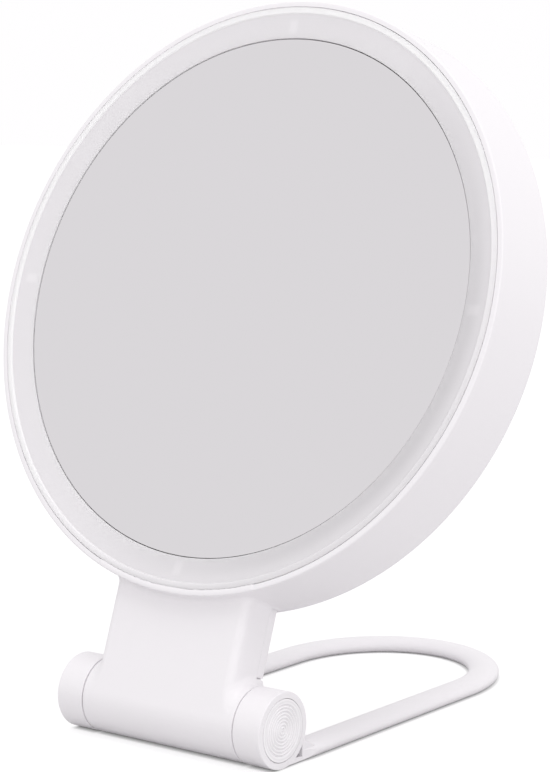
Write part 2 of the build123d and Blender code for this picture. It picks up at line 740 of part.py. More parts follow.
with BuildPart() as mirror_tray:
    with BuildSketch(SECTION):
        with BuildLine():
            Polyline(
                (0, TRAY_BACK_N),
                (0, TRAY_FACE_N),
                (RING_IN_R, TRAY_FACE_N),
                (RING_IN_R, DIFFUSER_BACK_N),
                (TRAY_RING_R, DIFFUSER_BACK_N),
                (TRAY_RING_R, TRAY_FLOOR_N),
                (TRAY_R, TRAY_FLOOR_N),
                (TRAY_R, TRAY_FLOOR_N - TRAY_FLOOR_T),
                (RING_IN_R, TRAY_FLOOR_N - TRAY_FLOOR_T),
                (RING_IN_R, TRAY_BACK_N),
                close=True,
            )
        make_face()
    revolve(axis=DRUM_AXIS)
    with BuildSketch(FACE.offset(TRAY_FLOOR_N)):
        with PolarLocations(NOTCH_IN_R, len(QUARTERS)):
            Rectangle(TRAY_R - NOTCH_IN_R + NOTCH_GAP, 2 * NOTCH_HALF, align=(Align.MIN, Align.CENTER))
    extrude(amount=-TRAY_FLOOR_T, mode=Mode.SUBTRACT)
    with BuildSketch(HEAD.offset(TRAY_FLOOR_N)):
        with Locations((-LEAD_X - LEAD_GAP / 2, LEAD_FOOT_UP)):
            Rectangle(LEAD_GAP + 4 * WIRE_R, 4 * WIRE_R)
    extrude(amount=-TRAY_FLOOR_T, mode=Mode.SUBTRACT)

save(mirror_tray.part, "mirror_tray")

# Lamp board, a ring with four notches, and its lamps

with BuildPart() as led_board:
    with BuildSketch(FACE.offset(TRAY_FLOOR_N)):
        Circle(LED_RING_R + LED_BOARD_W / 2)
        Circle(LED_RING_R - LED_BOARD_W / 2, mode=Mode.SUBTRACT)
        with PolarLocations(NOTCH_IN_R, len(QUARTERS)):
            Rectangle(LED_BOARD_W, 2 * NOTCH_HALF, align=(Align.MIN, Align.CENTER), mode=Mode.SUBTRACT)
    extrude(amount=LED_BOARD_T)

save(led_board.part, "led_board")

with BuildPart() as leds:
    with BuildSketch(FACE.offset(TRAY_FLOOR_N + LED_BOARD_T)):
        with PolarLocations(LED_RING_R, LED_COUNT, start_angle=180 / LED_COUNT):
            Rectangle(LED_W, LED_L)
    extrude(amount=LED_T)

save(leds.part, "leds")

# Control board, switch and small parts

with BuildPart() as control_board:
    with BuildSketch(HEAD.offset(BOARD_N)):
        with Locations((0, (CONTROL_LOW + CONTROL_HIGH) / 2)):
            RectangleRounded(2 * CONTROL_HALF_W, CONTROL_HIGH - CONTROL_LOW, BOARD_SCREW_R)
        with Locations(*STANDOFFS):
            Circle(BOARD_SCREW_R + PLUG_GAP, mode=Mode.SUBTRACT)
    extrude(amount=BOARD_T)

save(control_board.part, "control_board")

with BuildPart() as board_screws:
    with BuildSketch(HEAD.offset(BOARD_N + BOARD_T)):
        with Locations(*STANDOFFS):
            Circle(BOARD_SCREW_HEAD_R)
    extrude(amount=BOARD_SCREW_HEAD_T)
    with BuildSketch(HEAD.offset(BOARD_N + BOARD_T)):
        with Locations(*STANDOFFS):
            Circle(BOARD_SCREW_R)
    extrude(amount=-BOARD_SCREW_LENGTH)

save(board_screws.part, "board_screws")

with BuildPart() as board_parts:
    with BuildSketch(HEAD.offset(BOARD_N + BOARD_T)):
        with Locations((-CHIP_X, BUTTON_UP)):
            Rectangle(CHIP_W, CHIP_L)
    extrude(amount=CHIP_T)
    with BuildSketch(HEAD.offset(BOARD_N + BOARD_T)):
        with Locations((CHIP_X, BUTTON_UP)):
            Circle(COIL_R)
    extrude(amount=COIL_T)
    with BuildSketch(HEAD.offset(BOARD_N + BOARD_T)):
        with Locations((0, BUTTON_UP)):
            with GridLocations(0, RESISTOR_PITCH, 1, RESISTOR_COUNT):
                Rectangle(RESISTOR_L, RESISTOR_W)
    extrude(amount=RESISTOR_T)

save(board_parts.part, "board_parts")

with BuildPart() as tact_switch:
    with BuildSketch(HEAD.offset(SWITCH_FACE_N)):
        with Locations((0, BUTTON_UP)):
            Rectangle(SWITCH_W, SWITCH_W)
    extrude(amount=SWITCH_T)
    with BuildSketch(HEAD.offset(SWITCH_FACE_N)):
        with Locations((0, BUTTON_UP)):
            Circle(PLUNGER_R + RUNNING_GAP)
    extrude(amount=PLUNGER_IN + BUTTON_TRAVEL + SEAT_GAP, mode=Mode.SUBTRACT)

save(tact_switch.part, "tact_switch")

with BuildPart() as switch_plunger:
    with BuildSketch(HEAD.offset(STEM_END_N)):
        with Locations((0, BUTTON_UP)):
            Circle(PLUNGER_R)
    extrude(amount=PLUNGER_OUT + PLUNGER_IN)

save(switch_plunger.part, "switch_plunger")

# Power button, held behind the rear cover by its flange

with BuildPart() as power_button:
    with BuildSketch(HEAD.offset(DRUM_BACK_N - BUTTON_PROUD)):
        with Locations((0, BUTTON_UP)):
            Circle(BUTTON_R)
    extrude(amount=COVER_T + BUTTON_PROUD + FLANGE_T)
    fillet(power_button.edges().sort_by(Axis(HINGE, OUT))[0], BUTTON_ROUND)
    with BuildSketch(HEAD.offset(COVER_IN_N + RUNNING_GAP)):
        with Locations((0, BUTTON_UP)):
            Circle(BUTTON_R + FLANGE_W)
    extrude(amount=FLANGE_T)
    with BuildSketch(HEAD.offset(COVER_IN_N)):
        with Locations((0, BUTTON_UP)):
            Circle(STEM_R)
    extrude(amount=STEM_END_N - COVER_IN_N)

save(power_button.part, "power_button")

# Battery door, hung by two tongues at its lower edge

with BuildPart() as battery_door:
    with BuildSketch(HEAD.offset(DRUM_BACK_N)):
        with Locations((0, BAY_MID)):
            Rectangle(2 * (DOOR_HALF - DOOR_GAP), DOOR_HIGH - DOOR_LOW - 2 * DOOR_GAP)
    extrude(amount=DOOR_T)
    with BuildSketch(HEAD.offset(DOOR_IN_N)):
        with Locations(*TONGUES):
            with Locations((0, SEAT_GAP)):
                Rectangle(TONGUE_W, TONGUE_ROOT, align=(Align.CENTER, Align.MIN))
        with Locations(*LATCHES):
            Rectangle(TONGUE_W, TONGUE_ROOT, align=(Align.CENTER, Align.MAX))
    extrude(amount=COVER_IN_N + PLUG_GAP + TONGUE_T - DOOR_IN_N)
    with BuildSketch(HEAD.offset(COVER_IN_N + PLUG_GAP)):
        with Locations(*TONGUES):
            with Locations((0, SEAT_GAP + TONGUE_ROOT)):
                Rectangle(
                    TONGUE_W,
                    TONGUE_ROOT + SEAT_GAP + BAY_RIM + TONGUE_OUT,
                    align=(Align.CENTER, Align.MAX),
                )
    extrude(amount=TONGUE_T)
    with BuildSketch(HEAD.offset(DRUM_BACK_N)):
        with Locations((0, DOOR_HIGH - GRIP_COUNT * GRIP_PITCH)):
            with GridLocations(0, GRIP_PITCH, 1, GRIP_COUNT):
                SlotOverall(GRIP_W, GRIP_T)
    extrude(amount=GRIP_DEPTH, mode=Mode.SUBTRACT)

save(battery_door.part, "battery_door")

with BuildPart() as door_pad:
    with BuildSketch(HEAD.offset(DOOR_IN_N)):
        with Locations((0, BAY_MID)):
            Rectangle(2 * (BAY_HALF - PAD_INSET), BAY_LENGTH - 2 * PAD_INSET)
    extrude(amount=PAD_T)

save(door_pad.part, "door_pad")

# Cells, contact plates and springs: the middle cell lies the other way round

with BuildPart() as battery_cells:
    for place, way in CELL_PLACES:
        base_up = BAY_MID - way * (BAY_LENGTH / 2 - CONTACT_T - SPRING_ROOM)
        with BuildSketch(Plane(origin=head_point(place, base_up, CELL_N), x_dir=(1, 0, 0), z_dir=UP * way)):
            Circle(CELL_R)
        extrude(amount=CELL_LENGTH - CELL_NUB)
        with BuildSketch(Plane(origin=head_point(place, base_up, CELL_N), x_dir=(1, 0, 0), z_dir=UP * way)):
            Circle(CELL_NUB_R)
        extrude(amount=CELL_LENGTH)

save(battery_cells.part, "battery_cells")

with BuildPart() as contact_plates:
    with BuildSketch(Plane(origin=head_point(0, BAY_LOW, CELL_N), x_dir=(1, 0, 0), z_dir=UP)):
        with GridLocations(CELL_PITCH, 0, len(CELL_PLACES), 1):
            Rectangle(CONTACT_W, CONTACT_W)
    extrude(amount=CONTACT_T)
    with BuildSketch(Plane(origin=head_point(0, BAY_HIGH, CELL_N), x_dir=(1, 0, 0), z_dir=UP)):
        with GridLocations(CELL_PITCH, 0, len(CELL_PLACES), 1):
            Rectangle(CONTACT_W, CONTACT_W)
    extrude(amount=-CONTACT_T)

save(contact_plates.part, "contact_plates")

with BuildPart() as contact_springs:
    for place, way in CELL_PLACES:
        coil_height = SPRING_ROOM - 2 * SPRING_WIRE_R
        foot_up = BAY_MID - way * (BAY_LENGTH / 2 - CONTACT_T - SPRING_WIRE_R)
        with BuildLine():
            coil = Helix(
                pitch=coil_height / SPRING_TURNS,
                height=coil_height,
                radius=SPRING_R,
                center=head_point(place, foot_up, CELL_N),
                direction=UP * way,
            )
        with BuildSketch(Plane(origin=coil @ 0, z_dir=coil % 0)):
            Circle(SPRING_WIRE_R)
        sweep(path=coil, is_frenet=True)

save(contact_springs.part, "contact_springs")

# Leads

black_route = [
    head_point(-CELL_PITCH, BAY_LOW, BATTERY_LEAD_N),
    head_point(-CELL_PITCH, LEAD_CROSS_UP, BATTERY_LEAD_N),
    head_point(-LEAD_TOP_X, LEAD_CROSS_UP, BATTERY_LEAD_N),
    head_point(-LEAD_TOP_X, LEAD_END_UP, BATTERY_LEAD_N),
    head_point(-LEAD_TOP_X, LEAD_END_UP, BOARD_N),
]
red_route = [
    head_point(CELL_PITCH, BAY_HIGH, BATTERY_LEAD_N),
    head_point(CELL_PITCH, DOOR_HIGH + BAY_WALL + LEAD_ASIDE, BATTERY_LEAD_N),
    head_point(DOOR_HALF + BAY_WALL + LEAD_ASIDE, DOOR_HIGH + BAY_WALL + LEAD_ASIDE, BATTERY_LEAD_N),
    head_point(DOOR_HALF + BAY_WALL + LEAD_ASIDE, LEAD_CROSS_UP, BATTERY_LEAD_N),
    head_point(LEAD_TOP_X, LEAD_CROSS_UP, BATTERY_LEAD_N),
    head_point(LEAD_TOP_X, LEAD_END_UP, BATTERY_LEAD_N),
    head_point(LEAD_TOP_X, LEAD_END_UP, BOARD_N),
]
save(wire(black_route), "black_lead")
save(wire(red_route), "red_lead")

with BuildPart() as lamp_leads:
    for lead_x in (-LEAD_X, -LEAD_X - LEAD_GAP):
        lamp_route = [
            head_point(lead_x, LEAD_HEAD_UP, BOARD_N),
            head_point(lead_x, LEAD_HEAD_UP, LEAD_DROP_N),
            head_point(lead_x, LEAD_FOOT_UP, LEAD_DROP_N),
            head_point(lead_x, LEAD_FOOT_UP, TRAY_FLOOR_N),
        ]
        add(wire(lamp_route))

save(lamp_leads.part, "lamp_leads")
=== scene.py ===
"""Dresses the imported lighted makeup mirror: refined shells, finishes, floor, lamps and camera.

Pieces are drawn in millimetres in a frame of their own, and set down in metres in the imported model's frame.
"""

from __future__ import annotations

import json
import logging
import math
from collections.abc import Iterable, Sequence
from dataclasses import dataclass, field
from enum import Enum
from typing import Any, Union

import bmesh
import bpy
from bpy.types import ID, Material, Mesh, Node, NodeSocket, NodeTree, Object, World
from mathutils import Euler, Matrix, Vector

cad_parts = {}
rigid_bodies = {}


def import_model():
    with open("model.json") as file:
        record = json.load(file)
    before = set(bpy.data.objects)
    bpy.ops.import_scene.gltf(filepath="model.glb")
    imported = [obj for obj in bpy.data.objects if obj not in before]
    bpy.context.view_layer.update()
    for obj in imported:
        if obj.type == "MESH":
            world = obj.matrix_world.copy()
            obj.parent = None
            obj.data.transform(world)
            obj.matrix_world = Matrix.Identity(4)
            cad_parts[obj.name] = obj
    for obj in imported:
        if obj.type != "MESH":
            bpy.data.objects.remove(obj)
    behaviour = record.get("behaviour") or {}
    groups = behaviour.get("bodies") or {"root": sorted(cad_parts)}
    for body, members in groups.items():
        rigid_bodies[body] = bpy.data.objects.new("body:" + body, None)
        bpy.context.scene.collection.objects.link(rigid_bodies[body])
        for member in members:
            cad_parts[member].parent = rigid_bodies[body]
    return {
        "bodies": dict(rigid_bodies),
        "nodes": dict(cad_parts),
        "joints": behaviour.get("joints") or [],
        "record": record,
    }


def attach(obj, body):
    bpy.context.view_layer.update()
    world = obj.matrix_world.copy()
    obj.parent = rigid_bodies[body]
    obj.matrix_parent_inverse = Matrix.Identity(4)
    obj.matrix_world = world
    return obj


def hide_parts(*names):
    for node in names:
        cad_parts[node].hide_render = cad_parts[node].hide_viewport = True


log = logging.getLogger("makeup_mirror")

MM = 0.001

# The hinge's place, the head's directions at rest, and how far up the head the middle of the glass lies
TILT = math.radians(19.6)
HINGE = Vector((0.0, -66.25, 11.3))
ACROSS = Vector((1.0, 0.0, 0.0))
UP = Vector((0.0, math.sin(TILT), math.cos(TILT)))
OUT = Vector((0.0, -math.cos(TILT), math.sin(TILT)))
HEAD_UP = 123.3


def frame_at(origin: Vector, x: Vector, y: Vector, z: Vector) -> Matrix:
    """Builds the placing matrix of a local frame.

    Args:
        origin: The frame's origin, in millimetres.
        x: Direction of its first axis.
        y: Direction of its second axis.
        z: Direction of its third axis.

    Returns:
        The matrix that takes local millimetres to world metres.
    """
    turned = Matrix((x, y, z)).transposed().to_4x4()
    return Matrix.Scale(MM, 4) @ Matrix.Translation(origin) @ turned


TABLE_FRAME = Matrix.Scale(MM, 4)
HEAD_FRAME = frame_at(HINGE, ACROSS, UP, OUT)
FACE_FRAME = frame_at(HINGE + UP * HEAD_UP, ACROSS, UP, OUT)
RIGHT_SIDE = frame_at(HINGE, Vector((0, 1, 0)), Vector((0, 0, 1)), ACROSS)
FLIP_SIDES = Matrix.Diagonal((-1, 1, 1, 1))
RIGHT_TO_TABLE = TABLE_FRAME.inverted() @ RIGHT_SIDE
RIGHT_TO_HEAD = HEAD_FRAME.inverted() @ RIGHT_SIDE

# How many facets go round the drum, ring and glass, the knuckles and caps, the bushes and the button,
# the shaft, and the screws
DRUM_FACETS = 320
KNUCKLE_FACETS = 128
BUSH_FACETS = 96
SHAFT_FACETS = 48
SCREW_FACETS = 40

# How far a cutter runs past the face that it cuts, and what counts as lying on the axis
PAST = 1.0
ON_AXIS = 1e-6

Pair = tuple[float, float]
Triple = tuple[float, float, float]
Value = Union["Term", NodeSocket, ID, float, tuple]


class Nodes:
    """One node tree, to which every node is added by the same method."""

    def __init__(self, tree: NodeTree) -> None:
        """Takes the tree to fill."""
        self.tree = tree

    def node(
        self,
        kind: str,
        settings: dict[str, Any] | None = None,
        inputs: dict[str | int, Value] | None = None,
    ) -> Node:
        """Adds a node.

        Args:
            kind: The node's type.
            settings: Its properties, set first.
            inputs: A value or a link for each named or numbered socket.

        Returns:
            The new node.
        """
        made = self.tree.nodes.new(kind)
        for name, value in (settings or {}).items():
            setattr(made, name, value)
        for key, value in (inputs or {}).items():
            source = value.socket if isinstance(value, Term) else value
            if isinstance(source, NodeSocket):
                self.tree.links.new(source, made.inputs[key])
            else:
                made.inputs[key].default_value = source
        return made

    def term(
        self,
        kind: str,
        output: str | int = 0,
        settings: dict[str, Any] | None = None,
        inputs: dict[str | int, Value] | None = None,
    ) -> "Term":
        """Adds a node and wraps one of its outputs.

        Args:
            kind: The node's type.
            output: Name or number of the output.
            settings: Its properties.
            inputs: Its inputs.

        Returns:
            The output, ready for sums.
        """
        return Term(self, self.node(kind, settings, inputs).outputs[output])

    def split(self, vector: Value) -> tuple["Term", "Term", "Term"]:
        """Splits a vector into its three numbers."""
        parts = self.node("ShaderNodeSeparateXYZ", inputs={0: vector})
        return tuple(Term(self, parts.outputs[i]) for i in range(3))

    def join(self, x: Value, y: Value, z: Value) -> "Term":
        """Joins three numbers into a vector."""
        return self.term("ShaderNodeCombineXYZ", inputs={0: x, 1: y, 2: z})


@dataclass(frozen=True)
class Term:
    """A node's output on which sums are written as Python expressions."""

    nodes: Nodes
    socket: NodeSocket

    def _maths(self, operation: str, *values: Value) -> "Term":
        """Adds a Math node on the given values."""
        return self.nodes.term(
            "ShaderNodeMath", settings={"operation": operation}, inputs=dict(enumerate(values))
        )

    def __add__(self, other: Value) -> "Term":
        """Sum."""
        return self._maths("ADD", self, other)

    __radd__ = __add__

    def __sub__(self, other: Value) -> "Term":
        """Difference."""
        return self._maths("SUBTRACT", self, other)

    def __rsub__(self, other: Value) -> "Term":
        """Difference from a number on the left."""
        return self._maths("SUBTRACT", other, self)

    def __mul__(self, other: Value) -> "Term":
        """Product."""
        return self._maths("MULTIPLY", self, other)

    __rmul__ = __mul__

    def __truediv__(self, other: Value) -> "Term":
        """Quotient."""
        return self._maths("DIVIDE", self, other)

    def __abs__(self) -> "Term":
        """Size without sign."""
        return self._maths("ABSOLUTE", self)

    def least(self, other: Value) -> "Term":
        """The smaller of two numbers."""
        return self._maths("MINIMUM", self, other)

    def most(self, other: Value) -> "Term":
        """The larger of two numbers."""
        return self._maths("MAXIMUM", self, other)

    def over(self, other: Value) -> "Term":
        """1 where this is more than other, else 0."""
        return self._maths("GREATER_THAN", self, other)

    def root(self) -> "Term":
        """Square root, of nought below nought."""
        return self._maths("SQRT", self.most(0.0))

    def power(self, exponent: float) -> "Term":
        """This raised to a power."""
        return self._maths("POWER", self, exponent)

    def sine(self) -> "Term":
        """Sine of this angle."""
        return self._maths("SINE", self)

    def cosine(self) -> "Term":
        """Cosine of this angle."""
        return self._maths("COSINE", self)

    def hypot(self, other: "Term") -> "Term":
        """Length of the diagonal over two sides."""
        return (self * self + other * other).root()

    def clamp(self, low: float = 0.0, high: float = 1.0) -> "Term":
        """This, kept between two limits."""
        return self.most(low).least(high)

    def ease(self, start: float, end: float) -> "Term":
        """Smooth step from 0 at start to 1 at end."""
        return self.nodes.term(
            "ShaderNodeMapRange",
            settings={"interpolation_type": "SMOOTHSTEP"},
            inputs={"Value": self, "From Min": start, "From Max": end},
        )

    def merge(self, other: "Term", width: float) -> "Term":
        """Smaller of two distances, with the corner between them filled.

        Args:
            other: The other distance.
            width: How far the filling reaches.

        Returns:
            The blended distance.
        """
        near = (width - abs(self - other)).most(0.0) / width
        return self.least(other) - near * near * (width / 4)


class GrowthTree(Nodes):
    """A Geometry Nodes tree with named sizes, turned into a plain mesh once it has grown."""

    def __init__(self, name: str) -> None:
        """Starts an empty tree.

        Args:
            name: The tree's name.
        """
        super().__init__(bpy.data.node_groups.new(name, "GeometryNodeTree"))
        face = self.tree.interface
        face.new_socket(name="Geometry", in_out="INPUT", socket_type="NodeSocketGeometry")
        face.new_socket(name="Geometry", in_out="OUTPUT", socket_type="NodeSocketGeometry")
        self.entry = self.node("NodeGroupInput")
        self.sizes: dict[str, float] = {}

    def size(self, name: str, value: float) -> Term:
        """Adds a named size to the tree.

        Args:
            name: The size's name.
            value: Its value in millimetres or as a count.

        Returns:
            The size, ready for sums.
        """
        made = self.tree.interface.new_socket(name=name, in_out="INPUT", socket_type="NodeSocketFloat")
        self.sizes[made.identifier] = value
        return Term(self, self.entry.outputs[name])

    def grow(self, result: Value, material: Material, source: Mesh | None = None) -> Mesh:
        """Ends the tree and evaluates it.

        Args:
            result: The geometry to keep.
            material: The material of all its faces.
            source: The mesh that enters the tree, if any.

        Returns:
            A plain mesh.
        """
        real = self.term("GeometryNodeRealizeInstances", inputs={0: result})
        dressed = self.term("GeometryNodeSetMaterial", inputs={"Geometry": real, "Material": material})
        self.node("NodeGroupOutput", inputs={0: dressed})
        holder = add_object("growth", source or bpy.data.meshes.new("growth"))
        modifier = holder.modifiers.new("growth", "NODES")
        modifier.node_group = self.tree
        for identifier, value in self.sizes.items():
            modifier[identifier] = value
        mesh = plain_mesh(holder)
        bpy.data.objects.remove(holder)
        return mesh


def add_object(name: str, data: ID) -> Object:
    """Puts data in the scene as a new object.

    Args:
        name: The object's name.
        data: Its mesh, lamp or camera.

    Returns:
        The object.
    """
    made = bpy.data.objects.new(name, data)
    bpy.context.scene.collection.objects.link(made)
    return made


def fresh_nodes(owner: Material | World) -> Nodes:
    """Turns on the nodes of a material or world, and empties them.

    Args:
        owner: The material or world.

    Returns:
        Its nodes, ready to be filled.
    """
    owner.use_nodes = True
    owner.node_tree.nodes.clear()
    return Nodes(owner.node_tree)


def plain_mesh(obj: Object) -> Mesh:
    """Copies what an object's modifiers make of it.

    Args:
        obj: The object to evaluate.

    Returns:
        A new mesh with the modifiers applied.
    """
    bpy.context.view_layer.update()
    graph = bpy.context.evaluated_depsgraph_get()
    return bpy.data.meshes.new_from_object(obj.evaluated_get(graph), depsgraph=graph)


Profile = list[Pair]


def rounded(corners: Sequence[Triple], steps: int = 6, hold: float = 0.3) -> Profile:
    """Rounds the corners of a closed outline.

    Args:
        corners: Place of each corner and its radius, 0 for a sharp one.
        steps: How many chords make each round.
        hold: Length of the short run kept beside each round, so that flats shade flat.

    Returns:
        The outline's points.
    """
    points: Profile = []
    count = len(corners)
    for i, (x, y, radius) in enumerate(corners):
        here = Vector((x, y))
        if radius <= 0:
            points.append((x, y))
            continue
        back = Vector(corners[i - 1][:2]) - here
        ahead = Vector(corners[(i + 1) % count][:2]) - here
        half = back.angle(ahead) / 2
        reach = radius / math.tan(half)
        centre = here + (back.normalized() + ahead.normalized()).normalized() * (radius / math.sin(half))
        start = here + back.normalized() * reach
        end = here + ahead.normalized() * reach
        if back.length > reach + 2 * hold:
            points.append(tuple(start + back.normalized() * hold))
        spoke = start - centre
        sweep = spoke.angle_signed(end - centre)
        for k in range(steps + 1):
            points.append(tuple(centre + Matrix.Rotation(-sweep * k / steps, 2) @ spoke))
        if ahead.length > reach + 2 * hold:
            points.append(tuple(end + ahead.normalized() * hold))
    return points


def closed(mesh: Mesh, merge: float, collapse: float | None = None) -> Mesh:
    """Merges a mesh's doubles and turns its faces outwards.

    Args:
        mesh: The mesh to clean.
        merge: How near to each other two doubles lie.
        collapse: Length under which an edge is dissolved, if any is.

    Returns:
        The same mesh.
    """
    edit = bmesh.new()
    edit.from_mesh(mesh)
    bmesh.ops.remove_doubles(edit, verts=edit.verts, dist=merge)
    if collapse is not None:
        bmesh.ops.dissolve_degenerate(edit, edges=edit.edges, dist=collapse)
    bmesh.ops.recalc_face_normals(edit, faces=edit.faces)
    edit.to_mesh(mesh)
    edit.free()
    return mesh


def mesh_from(name: str, points: Sequence[Sequence[float]], faces: Sequence[Sequence[int]]) -> Mesh:
    """Makes a closed mesh whose faces point outwards.

    Args:
        name: The mesh's name.
        points: Its vertices.
        faces: The vertices of each face.

    Returns:
        The mesh.
    """
    mesh = bpy.data.meshes.new(name)
    mesh.from_pydata([tuple(p) for p in points], [], [tuple(f) for f in faces])
    return closed(mesh, merge=1e-5)


def lathe(name: str, outline: Sequence[Sequence[float]], segments: int) -> Mesh:
    """Turns a closed outline about the local third axis.

    Args:
        name: The mesh's name.
        outline: Radius and height of each point, all the way round the section.
        segments: How many facets go round.

    Returns:
        The turned mesh, closed.
    """
    points: list[Triple] = []
    rings: list[list[int]] = []
    for radius, height, *_ in outline:
        if radius < ON_AXIS:
            rings.append([len(points)] * segments)
            points.append((0.0, 0.0, height))
            continue
        first = len(points)
        for k in range(segments):
            turn = 2 * math.pi * k / segments
            points.append((radius * math.cos(turn), radius * math.sin(turn), height))
        rings.append(list(range(first, first + segments)))
    faces = []
    for ring, following in zip(rings, rings[1:] + rings[:1]):
        for k in range(segments):
            j = (k + 1) % segments
            corners = list(dict.fromkeys((ring[k], ring[j], following[j], following[k])))
            if len(corners) > 2:
                faces.append(corners)
    return mesh_from(name, points, faces)


def prism(name: str, outline: Sequence[Sequence[float]], low: float, high: float) -> Mesh:
    """Stands a flat outline up between two heights.

    Args:
        name: The mesh's name.
        outline: The outline's points.
        low: Height of its foot.
        high: Height of its top.

    Returns:
        The closed mesh.
    """
    count = len(outline)
    points = [(x, y, z) for z in (low, high) for x, y in outline]
    faces = [list(range(count)), list(range(count, 2 * count))]
    faces += [[k, (k + 1) % count, count + (k + 1) % count, count + k] for k in range(count)]
    return mesh_from(name, points, faces)


def block(name: str, low: Sequence[float], high: Sequence[float]) -> Mesh:
    """A plain block, only ever used as a cutter.

    Args:
        name: The mesh's name.
        low: Its lowest corner.
        high: Its highest corner.

    Returns:
        The closed mesh.
    """
    (x0, y0, z0), (x1, y1, z1) = low, high
    return prism(name, [(x0, y0), (x1, y0), (x1, y1), (x0, y1)], z0, z1)


def rod(name: str, radius: float, low: float, high: float, segments: int) -> Mesh:
    """A plain rod about the local third axis, only ever used as a cutter.

    Args:
        name: The mesh's name.
        radius: Its radius.
        low: Height of its foot.
        high: Height of its top.
        segments: How many facets go round.

    Returns:
        The closed mesh.
    """
    return lathe(name, [(0, low), (radius, low), (radius, high), (0, high)], segments)


def carve(mesh: Mesh, others: Sequence[Mesh], operation: str = "DIFFERENCE") -> Mesh:
    """Cuts meshes out of a mesh, or joins them to it.

    Args:
        mesh: The mesh to work on.
        others: The cutters, in the same frame.
        operation: The Boolean modifier's operation.

    Returns:
        A new mesh.
    """
    target = add_object("carved", mesh)
    helpers = []
    for other in others:
        helper = add_object("cutter", other)
        helpers.append(helper)
        modifier = target.modifiers.new("cut", "BOOLEAN")
        modifier.object = helper
        modifier.operation = operation
        modifier.solver = "EXACT"
    result = plain_mesh(target)
    for helper in [target, *helpers]:
        bpy.data.objects.remove(helper)
    return result


def together(name: str, meshes: Iterable[Mesh]) -> Mesh:
    """Collects several meshes of one frame in one mesh.

    Args:
        name: The new mesh's name.
        meshes: The meshes.

    Returns:
        The new mesh.
    """
    edit = bmesh.new()
    for mesh in meshes:
        edit.from_mesh(mesh)
    joined = bpy.data.meshes.new(name)
    edit.to_mesh(joined)
    edit.free()
    return joined


def moved(mesh: Mesh, matrix: Matrix) -> Mesh:
    """A copy of a mesh, placed by a matrix, with its faces outwards still.

    Args:
        mesh: The mesh to copy.
        matrix: Where to put it.

    Returns:
        The placed copy.
    """
    copy = mesh.copy()
    copy.transform(matrix)
    if matrix.determinant() < 0:
        copy.flip_normals()
    return copy


class Body(Enum):
    """The bodies that pieces ride on."""

    FOOT = "foot"
    HEAD = "head"
    BUTTON = "button"


class Grain(Enum):
    """The kinds of surface that the finishes use, each with its pattern's scale and detail."""

    MOULDED = (2100.0, 3.0)
    BRUSHED = (1.0, 4.0)
    CELLULAR = (1500.0, 0.0)
    TRACKED = (700.0, 0.0)
    POLISHED = (300.0, 2.0)


# The slow variation's pattern, and its share in a finish's tint
SLOW_SCALE, SLOW_DETAIL, SLOW_SHARE = 28.0, 3.0, 0.6

# How far the brushed pattern is drawn out, how uneven the boards' tracks are, and what all finishes share
BRUSH_PULL = (60.0, 2600.0, 2600.0)
TRACK_RANDOMNESS = 0.6
ROUGHNESS_SWING = 0.04
LEAST_ROUGHNESS = 0.02
COAT_ROUGHNESS = 0.15
MILK_REACH = 2.5 * MM

# Numbers of a Mix node's two colour inputs and of its colour output
FIRST_COLOUR, SECOND_COLOUR, MIXED_COLOUR = 6, 7, 2


